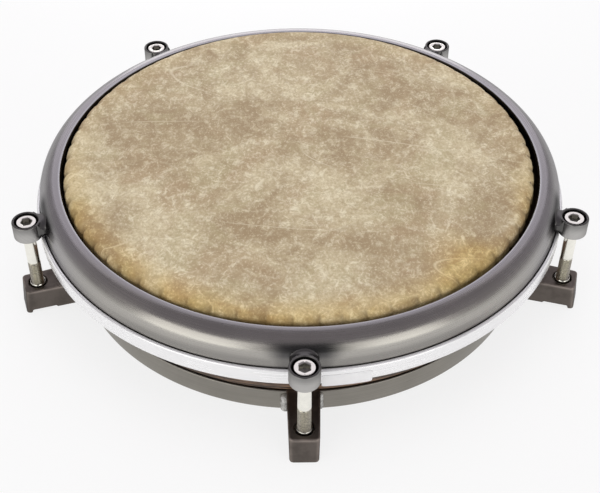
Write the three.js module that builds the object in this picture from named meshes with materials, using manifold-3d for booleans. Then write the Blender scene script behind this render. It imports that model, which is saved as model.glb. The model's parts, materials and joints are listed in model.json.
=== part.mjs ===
// A shallow conga: a tuned conga head on a low metal frame with five lugs.
// Millimetres, +Z up. The origin is the centre of the playing face, so every height is negative.
// The rim, pulled down by five socket-head rods, presses the flesh hoop down past the bearing edge
// of the wooden shell ring and so tightens the head.

import * as THREE from 'three';
import { mergeVertices } from 'three/addons/utils/BufferGeometryUtils.js';
import Module from 'manifold-3d';

const wasm = await Module();
wasm.setup();

// Fineness of the round shapes. The ring count is a multiple of the lug count.
const LUG_COUNT = 5;
const SEGMENTS_PER_LUG = 12;
const RING_SEGMENTS = LUG_COUNT * SEGMENTS_PER_LUG;
const PIN_SEGMENTS = 20;
const RIM_ARC_STEPS = 3;
const EDGE_ARC_STEPS = 2;
const EAR_ARC_STEPS = 10;
const COLLAR_STEPS = 3;

// Gap between pieces that touch or fit into each other.
const FIT_GAP = 0.3;

// How far a cutting body runs past the face that it opens, and a joined one into its neighbour.
const OVERCUT = 2;

// Head: an 11.75 inch film over the bearing edge.
const HEAD_RADIUS = 149.2;
const FILM_THICKNESS = 0.8;
const SHOULDER_RADIUS = 4;
const COLLAR_SLOPE = THREE.MathUtils.degToRad(38);

// Rim: sheet metal, a quarter-round over a straight skirt, with a rounded lip beside the head.
const LIP_GAP = 3.9;
const RIM_DROP = 1.8;
const RIM_WIDTH = 14.1;
const RIM_ROUND = 12.7;
const RIM_HEIGHT = 17.8;
const RIM_WALL = 3;

// Flesh hoop: a metal channel, open at the top, filled with resin round the edge of the film.
const HOOP_HEIGHT = 10.6;
const HOOP_WIDTH = 13;
const HOOP_WALL = 2;
const HOOP_STEP = 2.8;

// Ears on the rim and the rods in them.
const EAR_DROP = 6;
const EAR_RADIUS = 8.9;
const EAR_WALL = 1.5;
const EAR_FLOOR = 2.4;
const EAR_WAIST = THREE.MathUtils.degToRad(50);
const EAR_PAD_WIDTH = 16.4;
const EAR_PAD_THICKNESS = 1.2;
const EAR_CHAMFER = 0.5;
const ROD_RADIUS = 3.97;
const ROD_STANDOFF = 3;
const ROD_LENGTH = 51;
const ROD_TIP_CHAMFER = 1;
const ROD_HEAD_RADIUS = 5.95;
const ROD_HEAD_HEIGHT = 6.8;
const ROD_HEAD_CHAMFER = 0.7;
const ROD_HEAD_RECESS = 1;
const SOCKET_SIDES = 6;
const SOCKET_FLATS = 6.35;
const SOCKET_DEPTH = 3.9;
const WASHER_THICKNESS = 1;
const ROD_HOLE_GAP = 0.5;

// Wooden shell ring inside the band.
const SHELL_WALL = 11;
const BEARING_BEVEL = 7;
const SHELL_STEP_GAP = 1.2;

// Frame: the band, its ledge under the shell, and the lug brackets, which are the feet.
const DRUM_DEPTH = 76.7;
const FOOT_DROP = 1;
const BAND_HEIGHT = 15.2;
const BAND_WALL = 3;
const BAND_PROUD = 0.7;
const BAND_EDGE = 0.8;
const LEDGE_THICKNESS = 3;
const BRACKET_HEIGHT = 18;
const BRACKET_REACH = 10.8;
const BRACKET_WIDTH = 17.2;
const BRACKET_ROOT_WIDTH = 20.4;
const BRACKET_END_DRAFT = 2;
const BRACKET_SIDE_DRAFT = 1;
const BRACKET_CORNER = 2.2;
const BRACKET_EDGE = 0.9;
const BRACKET_WALL = 2.4;
const BRACKET_TOP_WALL = 3.2;
const BRACKET_NOTCH = 2;
const NOTCH_LEAD = 1.8;
const WELD_SIZE = 2.6;
const NUT_COLLAR_WALL = 0.75;
const NUT_COLLAR_RISE = 0.8;
const NUT_HOLE_GAP = 1;
const NUT_BODY_HEIGHT = 8;

// Radii that follow from the sizes above.
const lipRadius = HEAD_RADIUS + LIP_GAP;
const rimRadius = lipRadius + RIM_WIDTH;
const rimCentre = lipRadius + RIM_WALL / 2;
const hoopRadius = rimRadius + HOOP_STEP;
const hoopBore = hoopRadius - HOOP_WIDTH;
const boltCircle = hoopRadius + ROD_STANDOFF + ROD_RADIUS;
const padRadius = rimRadius + EAR_PAD_THICKNESS;
const shellRadius = HEAD_RADIUS - FILM_THICKNESS - FIT_GAP;
const shellBore = shellRadius - SHELL_WALL;
const bandRadius = shellRadius + BAND_PROUD;
const bandBore = bandRadius - BAND_WALL;
const bracketRoot = bandRadius + FIT_GAP;
const bracketEnd = boltCircle + BRACKET_REACH;

// Heights that follow from the sizes above.
const rimTop = -RIM_DROP;
const skirtTop = rimTop - RIM_ROUND;
const rimFoot = rimTop - RIM_HEIGHT;
const hoopTop = rimFoot - FIT_GAP;
const hoopBottom = hoopTop - HOOP_HEIGHT;
const earTop = rimTop - EAR_DROP;
const rodTop = earTop - ROD_HEAD_RECESS;
const rodSeat = rodTop - ROD_HEAD_HEIGHT;
const earSeat = rodSeat - WASHER_THICKNESS - 2 * FIT_GAP;
const earBottom = earSeat - EAR_FLOOR;
const footLevel = -DRUM_DEPTH;
const bandBottom = footLevel + FOOT_DROP;
const bandTop = bandBottom + BAND_HEIGHT;
const ledgeTop = bandBottom + LEDGE_THICKNESS;
const bracketTop = footLevel + BRACKET_HEIGHT;
const pocketTop = bracketTop - BRACKET_TOP_WALL;

// The nut's body fills the pocket between the bracket's side walls, at the rod's place on the taper.
const taper = (BRACKET_ROOT_WIDTH - BRACKET_WIDTH) / (bracketEnd - bracketRoot);
const widthAtRod = BRACKET_WIDTH + taper * BRACKET_REACH;
const pocketSide = widthAtRod - 2 * BRACKET_WALL;
const nutSide = pocketSide - 2 * FIT_GAP;
const nutBore = ROD_RADIUS + FIT_GAP;
const nutCollarRadius = nutBore + NUT_COLLAR_WALL;

// Merges shared vertices and drops the triangles that collapse on a lathe's axis.
function closed(geometry) {
  const bare = geometry.clone();
  bare.deleteAttribute('normal');
  bare.deleteAttribute('uv');
  const merged = mergeVertices(bare, 1e-4);
  const index = Array.from(merged.index.array);
  const kept = [];
  for (let i = 0; i < index.length; i += 3) {
    const [a, b, c] = index.slice(i, i + 3);
    if (a !== b && b !== c && c !== a) kept.push(a, b, c);
  }
  merged.setIndex(kept);
  return merged;
}

function solidOf(geometry) {
  const body = closed(geometry);
  const vertProperties = new Float32Array(body.attributes.position.array);
  const triVerts = new Uint32Array(body.index.array);
  return new wasm.Manifold(new wasm.Mesh({ numProp: 3, vertProperties, triVerts }));
}

function geometryOf(solid) {
  const { vertProperties, triVerts } = solid.getMesh();
  const geometry = new THREE.BufferGeometry();
  geometry.setAttribute('position', new THREE.BufferAttribute(vertProperties, 3));
  geometry.setIndex(new THREE.BufferAttribute(triVerts, 1));
  return geometry;
}

function cutFrom(solid, cutters) {
  return geometryOf(cutters.reduce((left, cutter) => left.subtract(solidOf(cutter)), solid));
}

// Turns a closed outline, drawn counter-clockwise as radius and height, about the Z axis.
function revolve(outline, segments, arcSteps = 1) {
  const points = outline.getPoints(arcSteps);
  return new THREE.LatheGeometry(points, segments).rotateX(Math.PI / 2);
}

// Raises an outline drawn in plan from one height to another, with its edges broken by a chamfer.
function raise(outline, bottom, top, { edge = 0, edgeSteps = 1, curveSegments = 3 } = {}) {
  const geometry = new THREE.ExtrudeGeometry(outline, {
    depth: top - bottom - 2 * edge,
    bevelEnabled: edge > 0,
    bevelSize: edge,
    bevelThickness: edge,
    bevelOffset: -edge,
    bevelSegments: edgeSteps,
    curveSegments,
  });
  return geometry.translate(0, 0, bottom + edge);
}

// A round bar or drill between two heights, about a vertical axis at the given distance out.
function bar(radius, bottom, top, out = 0, segments = PIN_SEGMENTS) {
  const geometry = new THREE.CylinderGeometry(radius, radius, top - bottom, segments);
  return geometry.rotateX(Math.PI / 2).translate(out, 0, (top + bottom) / 2);
}

// A box between two corners, given as [x, y, z].
function block(low, high) {
  const size = high.map((value, axis) => value - low[axis]);
  const centre = high.map((value, axis) => (value + low[axis]) / 2);
  return new THREE.BoxGeometry(...size).translate(...centre);
}

function ringOutline(inner, bottom, outer, top) {
  const outline = new THREE.Shape();
  outline.moveTo(inner, bottom);
  outline.lineTo(outer, bottom);
  outline.lineTo(outer, top);
  outline.lineTo(inner, top);
  outline.closePath();
  return outline;
}

// The flat film and its shoulder, down to where it stands upright beside the bearing edge.
function headFilm() {
  const flat = HEAD_RADIUS - SHOULDER_RADIUS;
  const outline = new THREE.Path();
  outline.moveTo(0, -FILM_THICKNESS);
  outline.lineTo(flat, -FILM_THICKNESS);
  outline.absarc(flat, -SHOULDER_RADIUS, SHOULDER_RADIUS - FILM_THICKNESS, Math.PI / 2, 0, true);
  outline.lineTo(HEAD_RADIUS, -SHOULDER_RADIUS);
  outline.absarc(flat, -SHOULDER_RADIUS, SHOULDER_RADIUS, 0, Math.PI / 2, false);
  outline.lineTo(0, 0);
  return revolve(outline, RING_SEGMENTS, EDGE_ARC_STEPS);
}

// The moulded collar: upright under the shoulder, then flaring out to the hoop at its own slope.
function headCollar() {
  const top = -SHOULDER_RADIUS - FIT_GAP;
  const bottom = hoopTop + FIT_GAP;
  const rise = (top - bottom) / 2;
  const end = hoopBore + HOOP_WALL + FILM_THICKNESS;
  const run = rise / Math.tan(COLLAR_SLOPE);
  const cut = FILM_THICKNESS / Math.sin(COLLAR_SLOPE);
  const inner = HEAD_RADIUS - FILM_THICKNESS;
  const outline = new THREE.Shape();
  outline.moveTo(inner, top);
  outline.bezierCurveTo(inner, top - rise, end - cut - run, bottom + rise, end - cut, bottom);
  outline.lineTo(end, bottom);
  outline.bezierCurveTo(end - run, bottom + rise, HEAD_RADIUS, top - rise, HEAD_RADIUS, top);
  outline.closePath();
  return revolve(outline, RING_SEGMENTS, COLLAR_STEPS);
}

// The rim's wall: two quarter ellipses with a round lip above, and a straight skirt down to the foot.
function rim() {
  const width = rimRadius - rimCentre;
  const half = RIM_WALL / 2;
  const inner = { width: width - RIM_WALL, height: RIM_ROUND - RIM_WALL };
  const outline = new THREE.Shape();
  outline.moveTo(rimRadius - RIM_WALL, rimFoot);
  outline.lineTo(rimRadius, rimFoot);
  outline.absellipse(rimCentre, skirtTop, width, RIM_ROUND, 0, Math.PI / 2, false, 0);
  outline.absarc(rimCentre, rimTop - half, half, Math.PI / 2, Math.PI * 1.5, false);
  outline.absellipse(rimCentre, skirtTop, inner.width, inner.height, Math.PI / 2, 0, true, 0);
  outline.closePath();
  return revolve(outline, RING_SEGMENTS, RIM_ARC_STEPS);
}

// The channel of the flesh hoop, open at the top.
function fleshHoop() {
  const outline = new THREE.Shape();
  outline.moveTo(hoopBore, hoopBottom);
  outline.lineTo(hoopRadius, hoopBottom);
  outline.lineTo(hoopRadius, hoopTop);
  outline.lineTo(hoopRadius - HOOP_WALL, hoopTop);
  outline.lineTo(hoopRadius - HOOP_WALL, hoopBottom + HOOP_WALL);
  outline.lineTo(hoopBore + HOOP_WALL, hoopBottom + HOOP_WALL);
  outline.lineTo(hoopBore + HOOP_WALL, hoopTop);
  outline.lineTo(hoopBore, hoopTop);
  outline.closePath();
  return revolve(outline, RING_SEGMENTS);
}

function hoopResin() {
  const inset = HOOP_WALL + FIT_GAP;
  const outline = ringOutline(hoopBore + inset, hoopBottom + inset, hoopRadius - inset, hoopTop);
  return revolve(outline, RING_SEGMENTS);
}

// The shell ring: a rounded bearing edge bevelled on its inside, and a step at the foot for the band.
function shellRing() {
  const bottom = ledgeTop + FIT_GAP;
  const step = bandTop + SHELL_STEP_GAP;
  const stepRadius = bandBore - FIT_GAP;
  const crest = -FILM_THICKNESS - FIT_GAP;
  const round = SHOULDER_RADIUS - FILM_THICKNESS - FIT_GAP;
  const outline = new THREE.Shape();
  outline.moveTo(shellBore, bottom);
  outline.lineTo(stepRadius, bottom);
  outline.lineTo(stepRadius, step);
  outline.lineTo(shellRadius, step);
  outline.lineTo(shellRadius, crest - round);
  outline.absarc(shellRadius - round, crest - round, round, 0, Math.PI / 2, false);
  outline.lineTo(shellBore + BEARING_BEVEL, crest);
  outline.lineTo(shellBore, crest - BEARING_BEVEL);
  outline.closePath();
  return revolve(outline, RING_SEGMENTS, EDGE_ARC_STEPS);
}

// The band with its top edge broken and its ledge turned in under the shell ring.
function supportBand() {
  const outline = new THREE.Shape();
  outline.moveTo(shellBore, bandBottom);
  outline.lineTo(bandRadius, bandBottom);
  outline.lineTo(bandRadius, bandTop - BAND_EDGE);
  outline.lineTo(bandRadius - BAND_EDGE, bandTop);
  outline.lineTo(bandBore, bandTop);
  outline.lineTo(bandBore, ledgeTop);
  outline.lineTo(shellBore, ledgeTop);
  outline.closePath();
  return revolve(outline, RING_SEGMENTS);
}

// The space that the rim takes up beside an ear, with the fit gap all round.
function rimSpace() {
  const width = rimRadius - rimCentre + FIT_GAP;
  const floor = earBottom - OVERCUT;
  const outline = new THREE.Shape();
  outline.moveTo(rimCentre, floor);
  outline.lineTo(rimCentre + width, floor);
  outline.absellipse(rimCentre, skirtTop, width, RIM_ROUND + FIT_GAP, 0, Math.PI / 2, false, 0);
  outline.closePath();
  return revolve(outline, RING_SEGMENTS, RIM_ARC_STEPS);
}

// An ear: a cup round the rod, with a waist where it meets the pad that lies against the rim.
function rimEar() {
  const half = EAR_PAD_WIDTH / 2;
  const turn = Math.PI - EAR_WAIST;
  const outline = new THREE.Shape();
  outline.moveTo(rimCentre, -half);
  outline.lineTo(padRadius, -half);
  outline.absarc(boltCircle, 0, EAR_RADIUS, -turn, turn, false);
  outline.lineTo(padRadius, half);
  outline.lineTo(rimCentre, half);
  outline.closePath();
  const body = raise(outline, earBottom, earTop, { edge: EAR_CHAMFER, curveSegments: EAR_ARC_STEPS });
  const cup = bar(EAR_RADIUS - EAR_WALL, earSeat, earTop + OVERCUT, boltCircle);
  const hole = bar(ROD_RADIUS + ROD_HOLE_GAP, earBottom - OVERCUT, earSeat + OVERCUT, boltCircle);
  return cutFrom(solidOf(body), [rimSpace(), cup, hole]);
}

// A rod with a chamfered socket head; it hangs by its head in the ear and ends inside the bracket.
function tensionRod() {
  const tip = rodSeat - ROD_LENGTH;
  const outline = new THREE.Path();
  outline.moveTo(0, tip);
  outline.lineTo(ROD_RADIUS - ROD_TIP_CHAMFER, tip);
  outline.lineTo(ROD_RADIUS, tip + ROD_TIP_CHAMFER);
  outline.lineTo(ROD_RADIUS, rodSeat);
  outline.lineTo(ROD_HEAD_RADIUS, rodSeat);
  outline.lineTo(ROD_HEAD_RADIUS, rodTop - ROD_HEAD_CHAMFER);
  outline.lineTo(ROD_HEAD_RADIUS - ROD_HEAD_CHAMFER, rodTop);
  outline.lineTo(0, rodTop);
  const body = revolve(outline, PIN_SEGMENTS);
  const socket = bar(SOCKET_FLATS / Math.sqrt(3), rodTop - SOCKET_DEPTH, rodTop + OVERCUT, 0, SOCKET_SIDES);
  return cutFrom(solidOf(body), [socket]);
}

function rodWasher() {
  const bore = ROD_RADIUS + FIT_GAP;
  const radius = EAR_RADIUS - EAR_WALL - FIT_GAP;
  return revolve(ringOutline(bore, earSeat + FIT_GAP, radius, rodSeat - FIT_GAP), PIN_SEGMENTS);
}

// Leans a bracket's end and sides in towards its top, each by its own draft.
function drafted(geometry) {
  const places = geometry.attributes.position;
  for (let i = 0; i < places.count; i += 1) {
    const rise = (places.getZ(i) - footLevel) / BRACKET_HEIGHT;
    const out = (places.getX(i) - bandBore) / (bracketEnd - bandBore);
    const side = 2 * places.getY(i) / BRACKET_WIDTH;
    places.setX(i, places.getX(i) - rise * out * BRACKET_END_DRAFT);
    places.setY(i, places.getY(i) - rise * side * BRACKET_SIDE_DRAFT);
  }
  return geometry;
}

// One bracket along +X: a drafted block with a pocket below for the nut, a hole above for its collar,
// a shallow notch across the underside, and weld beads where its sides meet the band.
function lugBracket() {
  const half = BRACKET_WIDTH / 2;
  const rootHalf = BRACKET_ROOT_WIDTH / 2;
  const inside = bandBore;
  const insideHalf = rootHalf + taper * (bracketRoot - inside) / 2;
  const corner = bracketEnd - BRACKET_CORNER;
  const outline = new THREE.Shape();
  outline.moveTo(inside, -insideHalf);
  outline.lineTo(corner, -half);
  outline.quadraticCurveTo(bracketEnd, -half, bracketEnd, -half + BRACKET_CORNER);
  outline.lineTo(bracketEnd, half - BRACKET_CORNER);
  outline.quadraticCurveTo(bracketEnd, half, corner, half);
  outline.lineTo(inside, insideHalf);
  outline.closePath();
  const body = drafted(raise(outline, footLevel, bracketTop, { edge: BRACKET_EDGE, edgeSteps: 2 }));

  const beadHalf = rootHalf + WELD_SIZE;
  const beadEnd = bracketRoot + WELD_SIZE;
  const bead = new THREE.Shape();
  bead.moveTo(inside, -beadHalf);
  bead.lineTo(bracketRoot, -beadHalf);
  bead.quadraticCurveTo(beadEnd, -beadHalf, beadEnd, -rootHalf);
  bead.lineTo(beadEnd, rootHalf);
  bead.quadraticCurveTo(beadEnd, beadHalf, bracketRoot, beadHalf);
  bead.lineTo(inside, beadHalf);
  bead.closePath();
  const beads = raise(bead, bandBottom, bandTop - BAND_EDGE);

  const reach = pocketSide / 2;
  const below = footLevel - OVERCUT;
  const above = bracketTop + OVERCUT;
  const pocket = block([boltCircle - reach, -reach, below], [boltCircle + reach, reach, pocketTop]);
  const notch = block(
    [boltCircle - reach - NOTCH_LEAD, -beadHalf, below],
    [boltCircle + reach, beadHalf, footLevel + BRACKET_NOTCH],
  );
  const hole = bar(nutCollarRadius + NUT_HOLE_GAP, pocketTop - OVERCUT, above, boltCircle);
  const bandSpace = bar(bracketRoot, below, above, 0, RING_SEGMENTS);
  return cutFrom(solidOf(body).add(solidOf(beads)), [pocket, notch, hole, bandSpace]);
}

// A square nut that cannot turn in the pocket, with a round collar that shows in the bracket's hole.
function lugNut() {
  const top = pocketTop - FIT_GAP;
  const half = nutSide / 2;
  const body = block([-half, -half, top - NUT_BODY_HEIGHT], [half, half, top]);
  const collarTop = bracketTop + NUT_COLLAR_RISE;
  const collar = bar(nutCollarRadius, top - OVERCUT, collarTop);
  const bore = bar(nutBore, top - NUT_BODY_HEIGHT - OVERCUT, collarTop + OVERCUT);
  return cutFrom(solidOf(body).add(solidOf(collar)), [bore]);
}

const finishes = {
  film: { color: 0xc0ab8a, roughness: 0.6, metalness: 0 },
  gunmetal: { color: 0x6b686d, roughness: 0.35, metalness: 0.9 },
  bright: { color: 0xdcdcde, roughness: 0.25, metalness: 1 },
  resin: { color: 0x9a8660, roughness: 0.5, metalness: 0 },
  nickel: { color: 0xcfcabb, roughness: 0.25, metalness: 1 },
  nylon: { color: 0x151515, roughness: 0.6, metalness: 0 },
  wood: { color: 0x7a5a3c, roughness: 0.55, metalness: 0 },
  steel: { color: 0x85807a, roughness: 0.45, metalness: 0.9 },
  casting: { color: 0x55504c, roughness: 0.5, metalness: 0.7 },
};

function piece(name, geometry, finish) {
  const mesh = new THREE.Mesh(closed(geometry), new THREE.MeshStandardMaterial(finishes[finish]));
  mesh.name = name;
  return mesh;
}

const conga = new THREE.Group();
conga.add(
  piece('head_film', headFilm(), 'film'),
  piece('head_collar', headCollar(), 'film'),
  piece('rim', rim(), 'gunmetal'),
  piece('flesh_hoop', fleshHoop(), 'bright'),
  piece('hoop_resin', hoopResin(), 'resin'),
  piece('shell_ring', shellRing(), 'wood'),
  piece('support_band', supportBand(), 'steel'),
);

// Lug 1 faces the player, at -Y, and the others follow counter-clockwise.
for (let lug = 1; lug <= LUG_COUNT; lug += 1) {
  const spoke = new THREE.Group();
  spoke.rotation.z = 2 * Math.PI * (lug - 1) / LUG_COUNT - Math.PI / 2;
  const axle = new THREE.Group();
  axle.position.x = boltCircle;
  axle.add(
    piece(`tension_rod_${lug}`, tensionRod(), 'nickel'),
    piece(`rod_washer_${lug}`, rodWasher(), 'nylon'),
    piece(`lug_nut_${lug}`, lugNut(), 'bright'),
  );
  spoke.add(
    axle,
    piece(`rim_ear_${lug}`, rimEar(), 'gunmetal'),
    piece(`lug_bracket_${lug}`, lugBracket(), 'casting'),
  );
  conga.add(spoke);
}

export default conga;
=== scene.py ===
"""Finished surfaces, materials and a plain studio for a shallow five-lug conga.

Metres, +Z up, origin at the centre of the playing face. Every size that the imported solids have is
measured from them; the property groups hold what they leave plain.
"""

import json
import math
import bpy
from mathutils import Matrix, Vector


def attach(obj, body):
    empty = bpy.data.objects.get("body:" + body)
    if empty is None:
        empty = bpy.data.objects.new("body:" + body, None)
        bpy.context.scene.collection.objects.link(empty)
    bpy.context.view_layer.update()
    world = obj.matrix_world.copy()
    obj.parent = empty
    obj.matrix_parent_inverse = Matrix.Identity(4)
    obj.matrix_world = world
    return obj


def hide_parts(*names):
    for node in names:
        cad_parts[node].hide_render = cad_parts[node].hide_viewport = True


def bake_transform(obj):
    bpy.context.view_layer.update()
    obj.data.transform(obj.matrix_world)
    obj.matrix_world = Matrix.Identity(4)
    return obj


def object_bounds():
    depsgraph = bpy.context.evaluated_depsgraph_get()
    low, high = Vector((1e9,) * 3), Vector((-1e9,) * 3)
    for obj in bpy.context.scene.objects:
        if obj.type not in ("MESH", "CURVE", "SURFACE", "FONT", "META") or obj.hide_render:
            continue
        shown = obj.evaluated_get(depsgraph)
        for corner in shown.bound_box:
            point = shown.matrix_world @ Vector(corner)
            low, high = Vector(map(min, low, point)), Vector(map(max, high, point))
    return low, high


bl_info = {
    "name": "Shallow Conga",
    "version": (1, 0, 0),
    "blender": (4, 5, 0),
    "location": "3D View > Sidebar > Conga",
    "description": "Builds the finished surfaces of a shallow conga round its packed solids",
    "category": "Object",
}

import bmesh
import bpy
import numpy as np
from bpy.props import FloatProperty, FloatVectorProperty, IntProperty, PointerProperty
from mathutils import Matrix

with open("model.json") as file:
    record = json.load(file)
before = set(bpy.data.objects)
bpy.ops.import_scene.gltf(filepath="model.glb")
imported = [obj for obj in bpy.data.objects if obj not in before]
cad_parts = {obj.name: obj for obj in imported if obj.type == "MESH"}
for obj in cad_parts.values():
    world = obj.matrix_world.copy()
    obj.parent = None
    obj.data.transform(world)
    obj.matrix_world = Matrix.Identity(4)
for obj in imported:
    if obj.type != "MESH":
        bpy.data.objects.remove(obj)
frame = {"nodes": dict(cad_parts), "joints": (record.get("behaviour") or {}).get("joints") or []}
CAD_BOX = [list(corner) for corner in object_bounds()]

TURN = 2 * math.pi
QUARTER = math.pi / 2
HAIR = 1e-5      # lengths that differ by less are the same
WELD = 1e-7      # points that lie closer are one


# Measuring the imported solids

class Solid:
    """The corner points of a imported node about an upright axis, as radii and heights with their limits."""

    def __init__(self, node, axis=(0, 0)):
        mesh = frame["nodes"][node].data
        flat = np.empty(3 * len(mesh.vertices), np.float32)
        mesh.vertices.foreach_get("co", flat)
        self.points = flat.reshape(-1, 3).astype(float)
        self.radii = np.hypot(self.points[:, 0] - axis[0], self.points[:, 1] - axis[1])
        self.heights = self.points[:, 2]
        self.bore, self.outer = self.radii.min(), self.radii.max()
        self.bottom, self.top = self.heights.min(), self.heights.max()

    def radii_at(self, height):
        return self.radii[np.abs(self.heights - height) < HAIR]

    def heights_at(self, radius):
        return self.heights[np.abs(self.radii - radius) < HAIR]


LUGS = [joint["pos_m"] for joint in frame["joints"] if joint["name"].startswith("rod_turn")]
LUG_ANGLES = [math.atan2(place[1], place[0]) for place in LUGS]
BOLT_CIRCLE = math.hypot(LUGS[0][0], LUGS[0][1])

# The head: the edge of its flat, its thickness, and the collar, which ends in the hoop
FILM, COLLAR = Solid("head_film"), Solid("head_collar")
FILM.flat = FILM.radii_at(FILM.top).max()
FILM.thickness = FILM.top - FILM.heights[FILM.radii < FILM.flat / 2].min()

# The rim: the top of its skirt, its wall, and the quarter ellipse above the skirt
RIM = Solid("rim")
RIM.skirt = RIM.heights_at(RIM.outer).max()
RIM.wall = RIM.outer - RIM.radii_at(RIM.bottom).min()
RIM.centre = RIM.bore + RIM.wall / 2
RIM.width = RIM.outer - RIM.centre
RIM.rise = RIM.top - RIM.skirt

# The channel of the flesh hoop
HOOP = Solid("flesh_hoop")
HOOP.wall = np.unique(np.round(HOOP.radii_at(HOOP.top), 5))[1] - HOOP.bore

# The wooden ring: its bevelled bearing edge and the step that takes the band
SHELL = Solid("shell_ring")
SHELL.crest_bore = SHELL.radii_at(SHELL.top).min()
SHELL.bevel_foot = SHELL.heights_at(SHELL.bore).max()
SHELL.step_radius = SHELL.radii_at(SHELL.bottom).max()
SHELL.step = SHELL.heights_at(SHELL.step_radius).max()
SHELL.round_foot = SHELL.heights_at(SHELL.outer).max()

# The band and the ledge under the wooden ring
BAND = Solid("support_band")
BAND.wall_bore = BAND.radii_at(BAND.top).min()
BAND.ledge_top = BAND.heights_at(BAND.bore).max()

# The cup on the rim about its rod: its outside, its counterbore and the counterbore's floor
EAR = Solid("rim_ear_1", LUGS[0])
EAR.radius = EAR.radii[np.hypot(*EAR.points[:, :2].T) > BOLT_CIRCLE].max()
EAR.cup = EAR.radii_at(EAR.top).min()
EAR.seat = EAR.heights_at(EAR.cup).min()

# The rod about its axis: the foot of its head, its shank, and its socket above the head's foot
ROD = Solid("tension_rod_1", LUGS[0])
ROD.head_foot = ROD.heights_at(ROD.outer).min()
ROD.shank = ROD.radii[ROD.heights < ROD.head_foot - HAIR].max()
ROD.in_head = (ROD.heights > ROD.head_foot + HAIR) & (ROD.heights < ROD.top - HAIR)
ROD.in_socket = ROD.in_head & (ROD.radii < ROD.shank)
ROD.socket_floor = ROD.heights[ROD.in_socket].min()
ROD.socket = ROD.radii[ROD.in_socket].max()

# The square nut about its rod: its round collar, half its width and its shoulder
NUT = Solid("lug_nut_1", LUGS[0])
NUT.collar = NUT.radii_at(NUT.top).max()
NUT.half = np.abs(NUT.points[:, 0] - LUGS[0][0]).max()
NUT.shoulder = NUT.heights[NUT.radii > NUT.half + HAIR].max()

# The lug bracket: its hole, and its reach past the rod at its foot and near its top
BRACKET = Solid("lug_bracket_1", LUGS[0])
BRACKET.hole = BRACKET.radii_at(BRACKET.top).min()
BRACKET.reaches = -BRACKET.points[:, 1] - BOLT_CIRCLE
BRACKET.reach = BRACKET.reaches.max()
BRACKET.top_reach = BRACKET.reaches[BRACKET.heights > (BRACKET.top + BRACKET.bottom) / 2].max()


# What a user would change

def length(name, description, default):
    return FloatProperty(name=name, description=description, default=default, unit="LENGTH", precision=5)


def angle(name, description, degrees):
    return FloatProperty(name=name, description=description, default=math.radians(degrees), subtype="ANGLE")


def colour(name, description, default):
    return FloatVectorProperty(
        name=name, description=description, default=default, subtype="COLOR", size=3, min=0, max=1,
    )


class CongaShape(bpy.types.PropertyGroup):
    """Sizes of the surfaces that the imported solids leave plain."""

    lip_hem: length("Lip hem", "Height of the rim's inner edge, which is folded down", 0.0034)
    lip_lean: length("Lip lean", "How far that edge leans in from its top to its foot", 0.0009)
    skirt_drop: length("Skirt drop", "How far the rim's skirt hangs over the hoop below it", 0.0005)
    skirt_flare: length("Skirt flare", "How far the rim's skirt flares out at its foot", 0.0004)
    pleats: IntProperty(
        name="Pleats", description="Pleat lines moulded into the collar of the head", default=62, min=3,
    )
    pleat_swell: length("Pleat swell", "How far the collar swells out between two pleat lines", 0.0012)
    pleat_dip: length("Pleat dip", "How far the shoulder dips along a pleat line", 0.0010)
    head_left: length("Head left", "How far the film's edge lies to the left of the rim's middle", 0.0007)
    head_back: length("Head back", "How much farther out the film's edge stands at its back", 0.0015)
    head_rise: length("Head rise", "How much higher the film's edge stands at its back", 0.0012)
    edge_round: length("Edge round", "Rounding of the turned edges of hoop and band", 0.0008)
    wood_round: length("Wood round", "Rounding of the edges of the wooden ring", 0.0006)
    ear_round: length("Ear round", "Rounding of the edges of the rim's ears", 0.0009)
    ear_blend: length("Ear blend", "Softness of the fillet between an ear and the rim", 0.0009)
    ear_pad: length("Ear pad", "Width of the pad between an ear's cup and the rim", 0.0164)
    ear_arch: length("Ear arch", "How far the crown of that pad falls towards its sides", 0.0062)
    ear_pad_lift: length("Ear pad lift", "How far that pad stands out from the rim's skirt", 0.0012)
    thread_pitch: length("Thread pitch", "Rise of the rod's thread in one turn", 0.0014111)
    thread_depth: length("Thread depth", "Height of the rod's thread from root to crest", 0.00085)
    thread_start: length("Thread start", "Height at which the plain shank ends", -0.0400)
    bracket_width: length("Bracket width", "Width of a lug bracket's foot at its outer end", 0.0170)
    bracket_root: length("Bracket root", "Width of a lug bracket's foot at the band", 0.0192)
    bracket_draft: length("Bracket draft", "How far a lug bracket's side leans out to its top", 0.00035)
    bracket_edge: length("Bracket edge", "Rounding of a lug bracket's top and bottom edges", 0.0008)
    bracket_corner: length("Bracket corner", "Rounding of a lug bracket's upright corners", 0.0028)
    notch_depth: length("Notch depth", "Depth of the shallow notch under a lug bracket", 0.0020)
    root_lift: length("Root lift", "How far a lug bracket's foot stands up at the band", 0.0009)
    weld_radius: length("Weld radius", "Half the width of a weld bead", 0.0019)


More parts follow.
